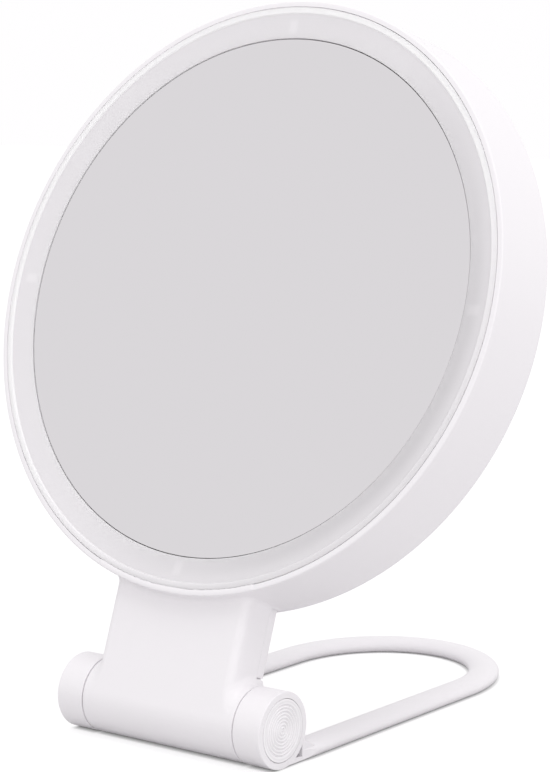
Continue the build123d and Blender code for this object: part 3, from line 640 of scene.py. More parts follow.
@dataclass(frozen=True)
class Finish:
    """One finish: its colour, its gloss and the fine surface that breaks them up."""

    name: str
    colour: Triple
    roughness: float
    grain: Grain = Grain.MOULDED
    metallic: float = 0.0
    swing: float = 0.03
    bump: float = 0.012
    coat: float = 0.0
    milk: float = 0.0

    def _fine_surface(self, nodes: Nodes, place: Term) -> tuple[Term, Term]:
        """Makes the finish's fine pattern.

        Args:
            nodes: The material's nodes.
            place: Object coordinates.

        Returns:
            The slow variation and the fine height, both from 0 to 1.
        """
        slow = nodes.term(
            "ShaderNodeTexNoise", inputs={"Vector": place, "Scale": SLOW_SCALE, "Detail": SLOW_DETAIL}
        )
        if self.grain is Grain.BRUSHED:
            place = nodes.join(*(part * pull for part, pull in zip(nodes.split(place), BRUSH_PULL)))
        scale, detail = self.grain.value
        inputs = {"Vector": place, "Scale": scale, "Detail": detail}
        if self.grain is Grain.TRACKED:
            inputs["Randomness"] = TRACK_RANDOMNESS
            return slow, nodes.term("ShaderNodeTexVoronoi", 0, {"distance": "MANHATTAN"}, inputs)
        kind = "ShaderNodeTexVoronoi" if self.grain is Grain.CELLULAR else "ShaderNodeTexNoise"
        return slow, nodes.term(kind, inputs=inputs)

    def _tint(self, nodes: Nodes, place: Term, slow: Term, fine: Term) -> Term:
        """How much lighter or darker the colour is at each point.

        Args:
            nodes: The material's nodes.
            place: Object coordinates.
            slow: The slow variation.
            fine: The fine height.

        Returns:
            A share between 0 and 1 of the lighter colour.
        """
        return (slow * SLOW_SHARE + fine * (1 - SLOW_SHARE)).clamp()

    def make(self) -> Material:
        """Builds the material.

        Returns:
            The new material.
        """
        material = bpy.data.materials.new(self.name)
        nodes = fresh_nodes(material)
        place = nodes.term("ShaderNodeTexCoord", "Object")
        slow, fine = self._fine_surface(nodes, place)
        darker = tuple(c * (1 - self.swing) for c in self.colour)
        lighter = tuple(min(1.0, c * (1 + self.swing)) for c in self.colour)
        tint = self._tint(nodes, place, slow, fine)
        colour = nodes.node(
            "ShaderNodeMix",
            {"data_type": "RGBA"},
            {0: tint, FIRST_COLOUR: (*darker, 1.0), SECOND_COLOUR: (*lighter, 1.0)},
        ).outputs[MIXED_COLOUR]
        relief = nodes.term(
            "ShaderNodeBump", inputs={"Height": fine, "Distance": self.bump * MM, "Strength": 1.0}
        )
        roughness = self.roughness - ROUGHNESS_SWING + slow * (2 * ROUGHNESS_SWING)
        shader = nodes.node(
            "ShaderNodeBsdfPrincipled",
            inputs={
                "Base Color": colour,
                "Metallic": self.metallic,
                "Roughness": roughness.clamp(LEAST_ROUGHNESS, 1.0),
                "Coat Weight": self.coat,
                "Coat Roughness": COAT_ROUGHNESS,
                "Subsurface Weight": self.milk,
                "Subsurface Radius": (1.0, 1.0, 1.0),
                "Subsurface Scale": MILK_REACH,
                "Normal": relief,
            },
        )
        nodes.node("ShaderNodeOutputMaterial", inputs={"Surface": shader.outputs[0]})
        return material


@dataclass(frozen=True)
class OpalFinish(Finish):
    """The milky light ring: painted light over the four ribs behind it and on its rim, painted shade at its
    lower right.

    Radii and widths are in millimetres, a way is a direction across and along the face, and the rest are
    shares of the swing from the darker to the lighter colour.
    """

    band_core: float = 0.6
    band_edge: float = 2.25
    band_in: float = 81.4
    band_out: float = 85.4
    band_blur: float = 1.0
    rib_light_gain: float = 0.115
    dim_from: float = 82.0
    side_way: Pair = (0.87, -0.49)
    low_way: Pair = (0.5, -0.87)
    rim_r: float = 87.35
    rim_blur: float = 0.2
    rim_light_gain: float = 0.485
    rim_light_drop_below: float = 0.43
    plain: float = 0.515
    side_shade: float = 0.13
    dim_shade: float = 0.28
    low_shade: float = 0.035
    slow_mottle: float = 0.07
    fine_mottle: float = 0.046

    def _out_along(self, across: Term, along: Term, way: Pair) -> Term:
        """How far out a point lies in one direction, from 0 at the middle to 1 at the rim."""
        return ((across * way[0] + along * way[1]) * (1 / self.rim_r)).clamp()

    def _tint(self, nodes: Nodes, place: Term, slow: Term, fine: Term) -> Term:
        """The share of the lighter colour: soft mottling, painted light over the four bands, painted shade
        and painted light on the rim.

        Args:
            nodes: The material's nodes.
            place: Object coordinates.
            slow: The slow variation.
            fine: The fine height.

        Returns:
            A share between 0 and 1 of the lighter colour.
        """
        middle = tuple(FACE_FRAME.translation)
        offset = nodes.term("ShaderNodeVectorMath", 0, {"operation": "SUBTRACT"}, {0: place, 1: middle})
        across, along = (
            nodes.term("ShaderNodeVectorMath", "Value", {"operation": "DOT_PRODUCT"}, {0: offset, 1: way})
            * (1 / MM)
            for way in (tuple(ACROSS), tuple(UP))
        )
        nearest = abs(across).least(abs(along))
        radius = across.hypot(along)
        # Painted light that shows through over the four ribs behind the ring, in a band along each axis
        band = (1 - nearest.ease(self.band_core, self.band_edge)) * (
            radius.ease(self.band_in - self.band_blur, self.band_in + self.band_blur)
            - radius.ease(self.band_out - self.band_blur, self.band_out + self.band_blur)
        )
        # Painted shade towards the lower right, with extra painted shade inside dim_from that fades out
        # towards the rim
        shaded_side = self._out_along(across, along, self.side_way)
        painted_dim = shaded_side * (1 - radius.ease(self.dim_from, self.rim_r))
        # Painted shade towards the bottom, which also takes some of the rim's painted light away there
        below = self._out_along(across, along, self.low_way)
        # Painted light on the rim
        on_rim = radius.ease(self.rim_r - self.rim_blur, self.rim_r + self.rim_blur)
        rim = on_rim * (self.rim_light_gain - below * self.rim_light_drop_below)
        mottle = (slow - 0.5) * self.slow_mottle + (fine - 0.5) * self.fine_mottle
        # All the painted shade together; the mottle alone is the plastic's own uneven tone
        shade = shaded_side * self.side_shade + painted_dim * self.dim_shade + below * self.low_shade
        return (self.plain - shade + rim + mottle + band * self.rib_light_gain).clamp()


GROOVE_PITCH = 0.985


@dataclass(frozen=True)
class GrooveShadedFinish(Finish):
    """White plastic with painted shade down in the circular grooves of a turned mould."""

    pitch: float = GROOVE_PITCH

    def _fine_surface(self, nodes: Nodes, place: Term) -> tuple[Term, Term]:
        """Leaves the slow variation, and puts circular marks about the hinge axis for the fine one: painted
        groove shade.

        Args:
            nodes: The material's nodes.
            place: Object coordinates.

        Returns:
            The slow variation and the fine height.
        """
        slow, _ = super()._fine_surface(nodes, place)
        _, y, z = nodes.split(place)
        radius = (y - HINGE.y * MM).hypot(z - HINGE.z * MM) * (1 / MM)
        # Painted groove shade, and the bump's height: 1 on each ridge, 0 down in each groove
        return slow, (radius * (2 * math.pi / self.pitch)).cosine() * 0.5 + 0.5


WHITE = (0.868, 0.845, 0.868)

FINISHES: dict[str, Finish] = {
    finish.name: finish
    for finish in (
        Finish("white_plastic", WHITE, 0.38, swing=0.006, bump=0.004),
        GrooveShadedFinish("cap_plastic", (0.875, 0.855, 0.875), 0.34, swing=0.10, bump=0.01),
        OpalFinish("opal_plastic", (0.785, 0.765, 0.785), 0.42, swing=0.26, bump=0.006, milk=0.7),
        Finish("mirror", (0.70, 0.685, 0.70), 0.02, Grain.POLISHED, 1.0, swing=0.002, bump=0.0),
        Finish("foam", (0.72, 0.72, 0.71), 0.85, Grain.CELLULAR, swing=0.08, bump=0.12),
        Finish("inner_white", (0.85, 0.85, 0.84), 0.5, swing=0.02),
        Finish("steel", (0.62, 0.62, 0.63), 0.30, Grain.BRUSHED, 1.0, swing=0.06, bump=0.006),
        Finish("spring_steel", (0.70, 0.70, 0.68), 0.2, Grain.BRUSHED, 1.0, swing=0.04, bump=0.003),
        Finish("acetal", (0.72, 0.72, 0.69), 0.42, swing=0.02, bump=0.006),
        Finish("lamp_board", (0.86, 0.86, 0.83), 0.35, Grain.TRACKED, bump=0.01, coat=0.3),
        Finish("lamp_chip", (0.93, 0.83, 0.45), 0.25, swing=0.04, bump=0.004, coat=0.6),
        Finish("green_board", (0.04, 0.24, 0.11), 0.35, Grain.TRACKED, swing=0.25, bump=0.02, coat=0.4),
        Finish("black_parts", (0.025, 0.025, 0.027), 0.5, swing=0.2, bump=0.008),
        Finish("cell_sleeve", (0.10, 0.12, 0.15), 0.3, swing=0.1, bump=0.003, coat=0.5),
        Finish("red_wire", (0.55, 0.03, 0.03), 0.35, swing=0.06, bump=0.004),
        Finish("black_wire", (0.02, 0.02, 0.02), 0.35, swing=0.15, bump=0.004),
        Finish("white_wire", (0.78, 0.78, 0.76), 0.35, bump=0.004),
    )
}


@dataclass
class Workshop:
    """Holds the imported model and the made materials, and sets finished pieces down in the scene."""

    frame: dict[str, Any]
    materials: dict[str, Material] = field(default_factory=dict)

    def material(self, slot: str) -> Material:
        """The material of a slot of the record, made once.

        Args:
            slot: The slot's name.

        Returns:
            Its material.
        """
        if slot not in self.materials:
            self.materials[slot] = FINISHES[slot].make()
        return self.materials[slot]

    def dress_nodes(self) -> None:
        """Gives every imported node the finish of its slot."""
        for row in self.frame["record"]["subparts"]:
            mesh = self.frame["nodes"][row["node"]].data
            mesh.materials.clear()
            mesh.materials.append(self.material(row["material_slot"]))
            log.info("dressed %s in %s", row["node"], row["material_slot"])

    def set_down(
        self,
        name: str,
        mesh: Mesh,
        placing: Matrix,
        body: Body,
        slot: str,
        replaces: Sequence[str],
        sharp: float = 32.0,
    ) -> None:
        """Puts a finished piece in the scene, on its body.

        Args:
            name: The piece's name.
            mesh: Its mesh, in millimetres.
            placing: The frame that it was drawn in.
            body: The body that it rides on.
            slot: The material slot that it takes its finish from.
            replaces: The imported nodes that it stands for.
            sharp: Angle in degrees over which an edge shades sharp.
        """
        mesh.transform(placing)
        mesh.shade_smooth()
        mesh.set_sharp_from_angle(angle=math.radians(sharp))
        mesh.materials.clear()
        mesh.materials.append(self.material(slot))
        mesh.polygons.foreach_set("material_index", [0] * len(mesh.polygons))
        piece = add_object(name, mesh)
        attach(piece, body.value)
        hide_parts(*replaces)
        log.info("made %s with %d faces on %s", name, len(mesh.polygons), body.value)


@dataclass
class Assembly:
    """A sub-assembly, which sets its finished pieces down through the workshop."""

    shop: Workshop


@dataclass
class Foot(Assembly):
    """The loop bar with its two knuckles, and the grooved caps in their ends."""

    leg_x: float = 34.3
    bar_half_w: float = 5.0
    bar_h: float = 4.6
    bar_flat: float = 0.6
    bar_stations: int = 361
    bar_facets: int = 56
    leg_start: float = 2.0
    leg_length: float = 100.2
    loop_depth: float = 38.6
    knuckle_r: float = 11.3
    knuckle_in: float = 28.8
    knuckle_out: float = 38.4
    shoulder: float = 0.3
    web: float = 3.0
    seat_r: float = 9.33
    shaft_r: float = 3.05
    pocket_r: float = 11.05
    pocket_low: float = 32.5
    pocket_high: float = 57.2
    pocket_corner: Pair = (9.2, -9.7)
    pocket_depth: float = 5.0
    pocket_steps: int = 8
    leg_flush: float = 9.3
    leg_spare: float = 0.1
    heel_in: Pair = (6.0, -10.0)
    heel_top: Pair = (10.4, -5.2)
    heel_end: Pair = (16.5, -8.3)
    heel_t: float = 5.6
    heel_top_round: float = 1.2
    heel_end_round: float = 2.0
    cap_r: float = 9.2
    cap_face: float = 38.5
    cap_t: float = 1.6
    cap_round: float = 0.18
    skirt: float = 3.0
    skirt_t: float = 0.9
    grooves: int = 8
    groove_pitch: float = GROOVE_PITCH
    groove_depth: float = 0.34
    groove_power: float = 1.6
    groove_samples: int = 12

    def _bar(self) -> Mesh:
        """Sweeps the bar's section along the loop with Geometry Nodes.

        Returns:
            The bar's mesh, in the table frame.
        """
        tree = GrowthTree("loop_bar")
        leg_x = tree.size("Leg offset", self.leg_x)
        leg = tree.size("Leg length", self.leg_length - self.leg_start)
        depth = tree.size("Loop depth", self.loop_depth)
        half_w = tree.size("Bar half width", self.bar_half_w)
        height = tree.size("Bar height", self.bar_h)
        flat = tree.size("Bar flat", self.bar_flat)
        line = tree.node("GeometryNodeCurvePrimitiveLine", {"mode": "POINTS"}, {"End": (0.0, 1.0, 0.0)})
        stations = tree.term(
            "GeometryNodeResampleCurve", inputs={"Curve": line.outputs[0], "Count": self.bar_stations}
        )

        # A third of the stations lies on each leg and on the bend between them
        share = tree.term("GeometryNodeSplineParameter", "Factor")
        turn = (share * 3 - 1).clamp() * math.pi
        x = leg_x * turn.cosine()
        y = (share * 3).clamp() * leg - (share * 3 - 2).clamp() * leg + depth * turn.sine()
        placed = tree.term(
            "GeometryNodeSetPosition",
            inputs={"Geometry": stations, "Position": tree.join(x, y + (HINGE.y + self.leg_start), 0.0)},
        )
        level = tree.term("GeometryNodeSetCurveNormal", settings={"mode": "Z_UP"}, inputs={"Curve": placed})
        ring = tree.term(
            "GeometryNodeCurvePrimitiveCircle", inputs={"Resolution": self.bar_facets, "Radius": 1.0}
        )
        rx, ry, _ = tree.split(tree.term("GeometryNodeInputPosition"))
        rise = (ry * ((height + flat) / 2) + (height - flat) / 2).most(0.0)
        section = tree.term(
            "GeometryNodeSetPosition",
            inputs={"Geometry": ring, "Position": tree.join(rx * half_w, 0.0 - rise, 0.0)},
        )
        swept = tree.term(
            "GeometryNodeCurveToMesh", inputs={"Curve": level, "Profile Curve": section, "Fill Caps": True}
        )
        mesh = tree.grow(swept, self.shop.material("white_plastic"))
        return closed(mesh, merge=1e-4, collapse=1e-5)

    def _pocket(self) -> Mesh:
        """The small three-sided pocket beside the cap.

        Returns:
            A cutter, in the right side's frame.
        """
        start, end = (math.radians(a - 90) for a in (self.pocket_low, self.pocket_high))
        turns = [start + (end - start) * k / self.pocket_steps for k in range(self.pocket_steps + 1)]
        outline = [(self.pocket_r * math.cos(a), self.pocket_r * math.sin(a)) for a in turns]
        outline.append(self.pocket_corner)
        return prism("pocket", outline, self.knuckle_out - self.pocket_depth, self.knuckle_out + PAST)

    def _heel(self) -> Mesh:
        """The heel that joins the leg to the knuckle.

        Returns:
            Its mesh, in the right side's frame.
        """
        foot = self.heel_in[1]
        outline = rounded(
            [
                (*self.heel_in, 0),
                (self.heel_end[0], foot, 0),
                (*self.heel_end, self.heel_end_round),
                (*self.heel_top, self.heel_top_round),
                (self.heel_in[0], self.heel_top[1], 0),
            ],
            hold=0.1,
        )
        return prism("heel", outline, self.knuckle_out - self.heel_t, self.knuckle_out)

    def _leg_end(self) -> Mesh:
        """What is planed off the leg's side, in a slant that ends flush with the knuckle.

        Returns:
            A cutter, in the table frame.
        """
        wide = self.leg_x + self.bar_half_w + self.leg_spare
        start, end = HINGE.y + self.leg_flush, HINGE.y + self.heel_end[0]
        outline = [
            (self.knuckle_out, HINGE.y - PAST),
            (wide, HINGE.y - PAST),
            (wide, end),
            (self.knuckle_out, start),
        ]
        return prism("leg_end", outline, -PAST, self.bar_h + PAST)

    def make_frame(self) -> None:
        """Builds the foot frame: knuckles and heels joined to the bar, then its hollows cut."""
        knuckle = lathe(
            "knuckle",
            rounded(
                [
                    (0.0, self.knuckle_in, 0),
                    (self.knuckle_r, self.knuckle_in, self.shoulder),
                    (self.knuckle_r, self.knuckle_out, self.shoulder),
                    (0.0, self.knuckle_out, 0),
                ],
                steps=8,
            ),
            KNUCKLE_FACETS,
        )
        seat = rod("seat", self.seat_r, self.knuckle_in + self.web, self.knuckle_out + PAST, KNUCKLE_FACETS)
        bore = rod("bore", self.shaft_r, self.knuckle_in - PAST, self.knuckle_out, SHAFT_FACETS)
        joined = [moved(mesh, RIGHT_TO_TABLE) for mesh in (knuckle, self._heel())]
        cutters = [moved(mesh, RIGHT_TO_TABLE) for mesh in (seat, bore, self._pocket())]
        cutters.append(self._leg_end())
        joined += [moved(mesh, FLIP_SIDES) for mesh in joined]
        cutters += [moved(mesh, FLIP_SIDES) for mesh in cutters]
        whole = carve(carve(self._bar(), joined, "UNION"), cutters)
        self.shop.set_down(
            "foot_frame_shell", whole, TABLE_FRAME, Body.FOOT, "white_plastic", ["foot_frame"]
        )

    def make_caps(self) -> None:
        """Builds the two end caps with their turned grooves."""
        top: Profile = []
        for k in range(self.grooves * self.groove_samples + 1):
            radius = self.groove_pitch * k / self.groove_samples
            wave = 0.5 - 0.5 * math.cos(2 * math.pi * radius / self.groove_pitch)
            top.append((radius, self.cap_face - self.groove_depth * wave**self.groove_power))
        skirt_in_r = self.cap_r - self.skirt_t
        under = self.cap_face - self.cap_t
        skirt_end = under - self.skirt
        edge = rounded(
            [
                (0.0, self.cap_face, 0),
                (self.cap_r, self.cap_face, self.cap_round),
                (self.cap_r, skirt_end, 0),
                (skirt_in_r, skirt_end, 0),
                (skirt_in_r, under, 0),
                (0.0, under, 0),
            ],
            steps=4,
            hold=0.05,
        )[1:]
        right = moved(lathe("cap", [*top, *edge], KNUCKLE_FACETS), RIGHT_TO_TABLE)
        left = moved(right, FLIP_SIDES)
        for name, mesh in (("end_cap_right", right), ("end_cap_left", left)):
            self.shop.set_down(
                f"{name}_turned", mesh, TABLE_FRAME, Body.FOOT, "cap_plastic", [name], sharp=50.0
            )


@dataclass
class Head(Assembly):
    """The drum with its lip, neck and hinge barrel, the light ring and the mirror glass."""

    lip_r: float = 91.2
    back_r: float = 93.2
    front_n: float = 15.6
    back_n: float = -6.9
    wall: float = 2.0
    lip_round: float = 0.5
    back_round: float = 0.8
    edge_round: float = 0.15
    lip_in_r: float = 89.53
    ledge_r: float = 87.5
    ledge_n: float = 12.6
    ledge_t: float = 1.5
    cover_t: float = 2.0
    neck_half_w: float = 25.0
    neck_back_n: float = -4.4
    neck_front_n: float = 11.2
    neck_corner: float = 2.5
    neck_back_corner: float = 1.2
    flare: float = 3.0
    root_fill: float = 2.2
    root_half_t: float = 0.93
    root_half_w: float = 29.2
    root_n: float = 4.6
    root_half_n: float = 11.2
    root_top: float = 60.0
    root_depth: float = 1.9
    parting_n: float = -0.36
    parting_past: float = 6.0
    parting_half_w: float = 25.65
    saddle_up: float = 12.85
    barrel_half: float = 28.5
    bore_half: float = 40.0
    bush_r: float = 7.55
    bush_flange_r: float = 8.95
    bush_flange_t: float = 1.2
    voxel: float = 0.45
    skin_level: float = 0.5
    grown_low: Triple = (-30.5, -12.5, -12.5)
    grown_high: Triple = (30.5, 43.0, 16.5)
    glass_r: float = 79.75
    glass_t: float = 2.0
    glass_n: float = 13.8
    glass_edge: float = 0.05
    ring_in_r: float = 80.0
    ring_n: float = 14.15
    ring_rise: float = 1.15
    ring_t: float = 1.5
    ring_in_round: float = 0.08
    rim_r: float = 89.4
    rim_t: float = 1.75
    rim_n: float = 15.65
    rim_slope: float = 0.3
    rim_round: float = 0.2

    def drum_r(self, n: float | Term) -> float | Term:
        """Outer radius of the drum at a height.

        Args:
            n: Height out of the mirror.

        Returns:
            The radius.
        """
        flare = (self.back_r - self.lip_r) / (self.front_n - self.back_n)
        return (self.front_n - n) * flare + self.lip_r

    def _cover_cut(self) -> Mesh:
        """The room that the rear cover takes at the neck, as a cutter in the head's frame."""
        return block(
            "cover_cut",
            (-self.parting_half_w, self.saddle_up, self.back_n - self.parting_past),
            (self.parting_half_w, HEAD_UP - self.glass_r, self.parting_n),
        )

    def _drum(self) -> Mesh:
        """The drum wall with its lip and ledge.

        Returns:
            Its mesh, in the head's frame.
        """
        under_n = self.ledge_n - self.ledge_t
        seat_n = self.back_n + self.cover_t
        seat_r = self.back_r - self.wall
        outline = rounded(
            [
                (self.back_r, self.back_n, self.back_round),
                (self.lip_r, self.front_n, self.lip_round),
                (self.lip_in_r, self.front_n, self.edge_round),
                (self.lip_in_r, self.ledge_n, 0),
                (self.ledge_r, self.ledge_n, 0),
                (self.ledge_r, under_n, 0),
                (self.drum_r(under_n) - self.wall, under_n, 0),
                (self.drum_r(seat_n) - self.wall, seat_n, 0),
                (seat_r, seat_n, 0),
                (seat_r, self.back_n, self.edge_round),
            ],
            steps=7,
        )
        drum = moved(lathe("drum", outline, DRUM_FACETS), Matrix.Translation((0, HEAD_UP, 0)))
        return carve(drum, [self._cover_cut()])

    def _neck(self) -> Mesh:
        """Grows the neck, the barrel and the soft root at the drum from distances, with Geometry Nodes.

        Returns:
            The mesh, in the head's frame.
        """
        tree = GrowthTree("neck_and_barrel")
        half_w = tree.size("Neck half width", self.neck_half_w)
        front = tree.size("Neck front", self.neck_front_n)
        back = tree.size("Neck back", self.neck_back_n)
        corner = tree.size("Front corner", self.neck_corner)
        back_corner = tree.size("Back corner", self.neck_back_corner)
        flare = tree.size("Flare", self.flare)
        barrel_half = tree.size("Barrel half length", self.barrel_half)
        x, u, n = tree.split(tree.term("GeometryNodeInputPosition"))

        # The neck: a slab whose sides flare in a quarter round towards the barrel
        reach = u.hypot(n)
        climb = (reach - front).most(0.0)
        short = (flare - climb).most(0.0)
        side = half_w + flare - (flare * flare - short * short).root()
        middle = (front + back) / 2
        fillet = back_corner + (corner - back_corner) * n.over(middle)
        sideways = abs(x) - side + fillet
        outwards = abs(n - middle) - (front - back) / 2 + fillet
        slab = sideways.most(0.0).hypot(outwards.most(0.0)) + sideways.most(outwards).least(0.0) - fillet
        slab = slab.most(0.0 - u)

        # Its root: the corner between the slab and a stretch of the drum's wall is filled
        radius = x.hypot(u - HEAD_UP)
        wall_r = self.drum_r(n)
        band = abs(radius - wall_r + self.wall / 2) - self.root_half_t
        band = band.most(abs(x) - self.root_half_w).most(abs(n - self.root_n) - self.root_half_n)
        rooted = slab.merge(band.most(u - self.root_top), self.root_fill)

        # The barrel joins them, and the skin grows where the distance is nought
        barrel = (reach - front).most(abs(x) - barrel_half)
        distance = rooted.most(wall_r - self.root_depth - radius).least(barrel)
        cloud = tree.term(
            "GeometryNodeVolumeCube",
            inputs={
                "Density": self.skin_level - distance / self.voxel,
                "Min": self.grown_low,
                "Max": self.grown_high,
                **{
                    f"Resolution {axis}": round((high - low) / self.voxel)
                    for axis, low, high in zip("XYZ", self.grown_low, self.grown_high)
                },
            },
        )
        skin = tree.term("GeometryNodeVolumeToMesh", inputs={"Volume": cloud, "Threshold": self.skin_level})
        mesh = tree.grow(skin, self.shop.material("white_plastic"))
        bore = rod("bore", self.bush_r, -self.bore_half, self.bore_half, BUSH_FACETS)
        cutters = [self._cover_cut(), moved(bore, RIGHT_TO_HEAD)]
        inner, outer = self.barrel_half - self.bush_flange_t, self.barrel_half + 2 * PAST
        for low, high in ((-outer, -inner), (inner, outer)):
            seat = rod("flange_seat", self.bush_flange_r, low, high, BUSH_FACETS)
            cutters.append(moved(seat, RIGHT_TO_HEAD))
        return carve(mesh, cutters)

    def make_housing(self) -> None:
        """Builds the front housing."""
        shell = together("front_housing_shell", [self._drum(), self._neck()])
        self.shop.set_down(
            "front_housing_shell", shell, HEAD_FRAME, Body.HEAD, "white_plastic", ["front_housing"]
        )

    def make_ring(self) -> None:
        """Builds the light ring with its upstanding rim."""
        foot_n = self.ring_n - self.ring_t
        rim_in_r = self.rim_r - self.rim_t
        outline = rounded(
            [
                (self.ring_in_r, foot_n, 0),
                (self.ring_in_r, self.ring_n, self.ring_in_round),
                (rim_in_r - self.rim_slope, self.ring_n + self.ring_rise, self.rim_round),
                (rim_in_r, self.rim_n, self.rim_round),
                (self.rim_r, self.rim_n, self.rim_round),
                (self.rim_r, foot_n, 0),
            ],
            steps=4,
            hold=0.05,
        )
        ring = lathe("light_ring", outline, DRUM_FACETS)
        self.shop.set_down("light_ring", ring, FACE_FRAME, Body.HEAD, "opal_plastic", ["diffuser_ring"])

    def make_glass(self) -> None:
        """Builds the mirror glass with its ground edge."""
        back = self.glass_n - self.glass_t
        outline = [
            (0.0, back),
            (self.glass_r, back),
            (self.glass_r, self.glass_n - self.glass_edge),
            (self.glass_r - self.glass_edge, self.glass_n),
            (0.0, self.glass_n),
        ]
        disc = lathe("glass_disc", outline, DRUM_FACETS)
        self.shop.set_down(
            "glass_disc", disc, FACE_FRAME, Body.HEAD, "mirror", ["mirror_glass"], sharp=20.0
        )


@dataclass
class Fittings(Assembly):
    """The screws of the rear cover and the power button."""

    screw_ring_r: float = 86.2
    screw_n: float = -6.9
    neck_screw: Triple = (14.0, 23.0, -4.4)
    head_r: float = 2.5
    head_t: float = 1.4
    head_round: float = 0.12
    under_round: float = 0.2
    shaft_r: float = 1.15
    length: float = 8.0
    tip: float = 0.6
    tip_share: float = 0.4
    screw_turn: float = 0.9
    slot_w: float = 0.7
    slot_depth: float = 0.8
    button_up: float = 56.0
    button_r: float = 5.6
    button_low: float = -7.7
    button_round: float = 0.5
    dish: tuple[Pair, ...] = ((0.0, 0.25), (1.6, 0.22), (3.2, 0.08), (3.9, 0.0))
    flange_r: float = 6.9
    flange_low: float = -4.85
    flange_high: float = -3.85
    stem_r: float = 2.0
    stem_end: float = -0.1

    def _screw(self) -> Mesh:
        """One countersunk screw with a cross slot.

        Returns:
            The screw, driven along the local third axis.
        """
        body = lathe(
            "screw",
            rounded(
                [
                    (0.0, 0.0, 0),
                    (self.head_r, 0.0, self.head_round),
                    (self.shaft_r, self.head_t, self.under_round),
                    (self.shaft_r, self.length - self.tip, 0),
                    (self.shaft_r * self.tip_share, self.length, 0),
                    (0.0, self.length, 0),
                ],
                steps=3,
                hold=0.1,
            ),
            SCREW_FACETS,
        )
        half, arm = self.slot_w / 2, self.head_r - self.slot_w / 2
        cuts = [
            block("slot", (-a, -b, -PAST / 2), (a, b, self.slot_depth)) for a, b in ((arm, half), (half, arm))
        ]
        return carve(body, cuts)

    def make_screws(self) -> None:
        """Sets one screw on each of six points with Geometry Nodes."""
        x, up, n = self.neck_screw
        places = [
            (self.screw_ring_r * math.cos(a), HEAD_UP + self.screw_ring_r * math.sin(a), self.screw_n)
            for a in (math.pi / 2 * k for k in range(4))
        ] + [(x, up, n), (-x, up, n)]
        points = bpy.data.meshes.new("screw_places")
        points.from_pydata(places, [], [])
        holder = add_object("screw_pattern", self._screw())
        tree = GrowthTree("cover_screws")
        turn = tree.size("Turn between screws", self.screw_turn)
        pattern = tree.term("GeometryNodeObjectInfo", "Geometry", inputs={"Object": holder})
        index = tree.term("GeometryNodeInputIndex")
        spread = tree.term(
            "GeometryNodeInstanceOnPoints",
            inputs={
                "Points": Term(tree, tree.entry.outputs["Geometry"]),
                "Instance": pattern,
                "Rotation": tree.join(0.0, 0.0, index * turn),
            },
        )
        mesh = tree.grow(spread, self.shop.material("steel"), points)
        bpy.data.objects.remove(holder)
        self.shop.set_down("cover_screws_set", mesh, HEAD_FRAME, Body.HEAD, "steel", ["cover_screws"])

    def make_button(self) -> None:
        """Builds the power button with its flange and stem."""
        outline = rounded(
            [
                (0.0, self.button_low, 0),
                (self.button_r, self.button_low, self.button_round),
                (self.button_r, self.flange_low, 0),
                (self.flange_r, self.flange_low, 0),
                (self.flange_r, self.flange_high, 0),
                (self.stem_r, self.flange_high, 0),
                (self.stem_r, self.stem_end, 0),
                (0.0, self.stem_end, 0),
            ]
        )
        dish = [(radius, self.button_low + depth) for radius, depth in self.dish]
        turned = lathe("button", [*dish, *outline[1:]], BUSH_FACETS)
        button = moved(turned, Matrix.Translation((0, self.button_up, 0)))
        self.shop.set_down(
            "power_button_cap", button, HEAD_FRAME, Body.BUTTON, "white_plastic", ["power_button"]
        )


Colour = tuple[float, float, float, float]


@dataclass(frozen=True)
class Lamp:
    """One soft round lamp: where it hangs, how wide it is and its power in watts."""

    name: str
    place: Triple
    size: float
    energy: float


def facing(way: Vector) -> Euler:
    """The turn that points a lamp or camera along a direction."""
    return way.to_track_quat("-Z", "Y").to_euler()


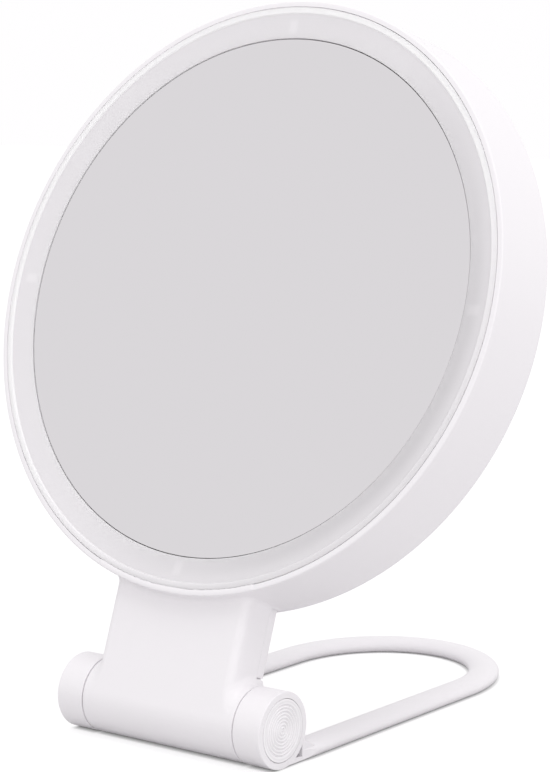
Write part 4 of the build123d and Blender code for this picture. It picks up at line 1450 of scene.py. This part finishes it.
@dataclass
class Studio:
    """The pale floor, the white surround, the soft lamps and the camera."""

    white: Colour = (1.0, 0.992, 1.0, 1.0)
    ambient_tint: Colour = (1.0, 0.995, 1.0, 1.0)
    ambient: float = 0.908
    floor_half: float = 4.0
    floor_tint: Colour = (0.70, 0.695, 0.70, 1.0)
    floor_glow: float = 0.8
    shaded_tint: Colour = (0.27, 0.27, 0.27, 1.0)
    contact_shadow_reach: float = 0.0014
    contact_shadow_power: float = 0.6
    contact_shadow_samples: int = 24
    lamps: tuple[Lamp, ...] = (
        Lamp("top_lamp", (0.35, -0.25, 1.6), 1.2, 6.0),
        Lamp("side_lamp", (1.35, -0.9, 0.2), 1.0, 4.5),
    )
    lit_point: Triple = (0.0, 0.0, 0.1)
    sensor_mm: float = 36.0
    focal_mm: float = 109.36
    camera_at: Triple = (0.43243, -0.58244, 0.19768)
    look: Triple = (-0.60412, 0.7857, -0.13308)

    def make_camera(self) -> None:
        """Places the camera at the photograph's viewpoint."""
        data = bpy.data.cameras.new("camera")
        data.lens = self.focal_mm
        data.sensor_width = self.sensor_mm
        camera = add_object("camera", data)
        camera.location = self.camera_at
        camera.rotation_euler = facing(Vector(self.look))
        bpy.context.scene.camera = camera

    def make_world(self) -> None:
        """Lights from all round at a plain level, and shows white behind."""
        world = bpy.data.worlds.new("surround")
        bpy.context.scene.world = world
        nodes = fresh_nodes(world)
        rays = nodes.node("ShaderNodeLightPath")
        straight, glossy, through = (
            Term(nodes, rays.outputs[f"Is {kind} Ray"]) for kind in ("Camera", "Glossy", "Transmission")
        )
        seen = straight.most(glossy).most(through)
        plain = nodes.node(
            "ShaderNodeBackground", inputs={"Color": self.ambient_tint, "Strength": self.ambient}
        )
        white = nodes.node("ShaderNodeBackground", inputs={"Color": self.white, "Strength": 1.0})
        chosen = nodes.node("ShaderNodeMixShader", inputs={0: seen, 1: plain.outputs[0], 2: white.outputs[0]})
        nodes.node("ShaderNodeOutputWorld", inputs={"Surface": chosen.outputs[0]})

    def make_floor(self) -> None:
        """Lays the floor: white to the camera, with the object's soft shadows kept and its close shadows
        painted.
        """
        half = self.floor_half
        corners = [(-half, -half, 0), (half, -half, 0), (half, half, 0), (-half, half, 0)]
        mesh = mesh_from("floor", corners, [(0, 1, 2, 3)])
        material = bpy.data.materials.new("floor")
        nodes = fresh_nodes(material)
        rays = nodes.node("ShaderNodeLightPath")
        # Painted close shadow: the floor's white glow is dimmed by ambient occlusion near the object
        open_air = nodes.term(
            "ShaderNodeAmbientOcclusion",
            "AO",
            {"samples": self.contact_shadow_samples},
            {"Distance": self.contact_shadow_reach},
        ).power(self.contact_shadow_power)
        white = nodes.node(
            "ShaderNodeEmission", inputs={"Color": self.white, "Strength": open_air * self.floor_glow}
        )
        shaded = nodes.node("ShaderNodeBsdfDiffuse", inputs={"Color": self.shaded_tint})
        shown = nodes.node("ShaderNodeAddShader", inputs={0: white.outputs[0], 1: shaded.outputs[0]})
        plain = nodes.node("ShaderNodeBsdfDiffuse", inputs={"Color": self.floor_tint})
        seen = Term(nodes, rays.outputs["Is Camera Ray"])
        chosen = nodes.node("ShaderNodeMixShader", inputs={0: seen, 1: plain.outputs[0], 2: shown.outputs[0]})
        nodes.node("ShaderNodeOutputMaterial", inputs={"Surface": chosen.outputs[0]})
        mesh.materials.append(material)
        floor = add_object("floor", mesh)

    def make_lamp(self, lamp: Lamp) -> None:
        """Hangs a soft lamp that faces the object.

        Args:
            lamp: The lamp to hang.
        """
        data = bpy.data.lights.new(lamp.name, "AREA")
        data.shape = "DISK"
        data.size = lamp.size
        data.energy = lamp.energy
        hung = add_object(lamp.name, data)
        hung.location = lamp.place
        hung.rotation_euler = facing(Vector(self.lit_point) - Vector(lamp.place))
        hung.visible_glossy = False

    def make(self) -> None:
        """Builds the whole studio."""
        self.make_world()
        self.make_floor()
        for lamp in self.lamps:
            self.make_lamp(lamp)
        bpy.context.scene.view_settings.view_transform = "Standard"


def main() -> None:
    """Builds every piece in order."""
    logging.basicConfig(level=logging.INFO)
    shop = Workshop(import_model())
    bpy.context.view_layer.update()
    studio = Studio()
    studio.make_camera()
    studio.make()
    shop.dress_nodes()
    foot = Foot(shop)
    foot.make_frame()
    foot.make_caps()
    head = Head(shop)
    head.make_housing()
    head.make_ring()
    head.make_glass()
    fittings = Fittings(shop)
    fittings.make_screws()
    fittings.make_button()


if __name__ == "__main__":
    main()
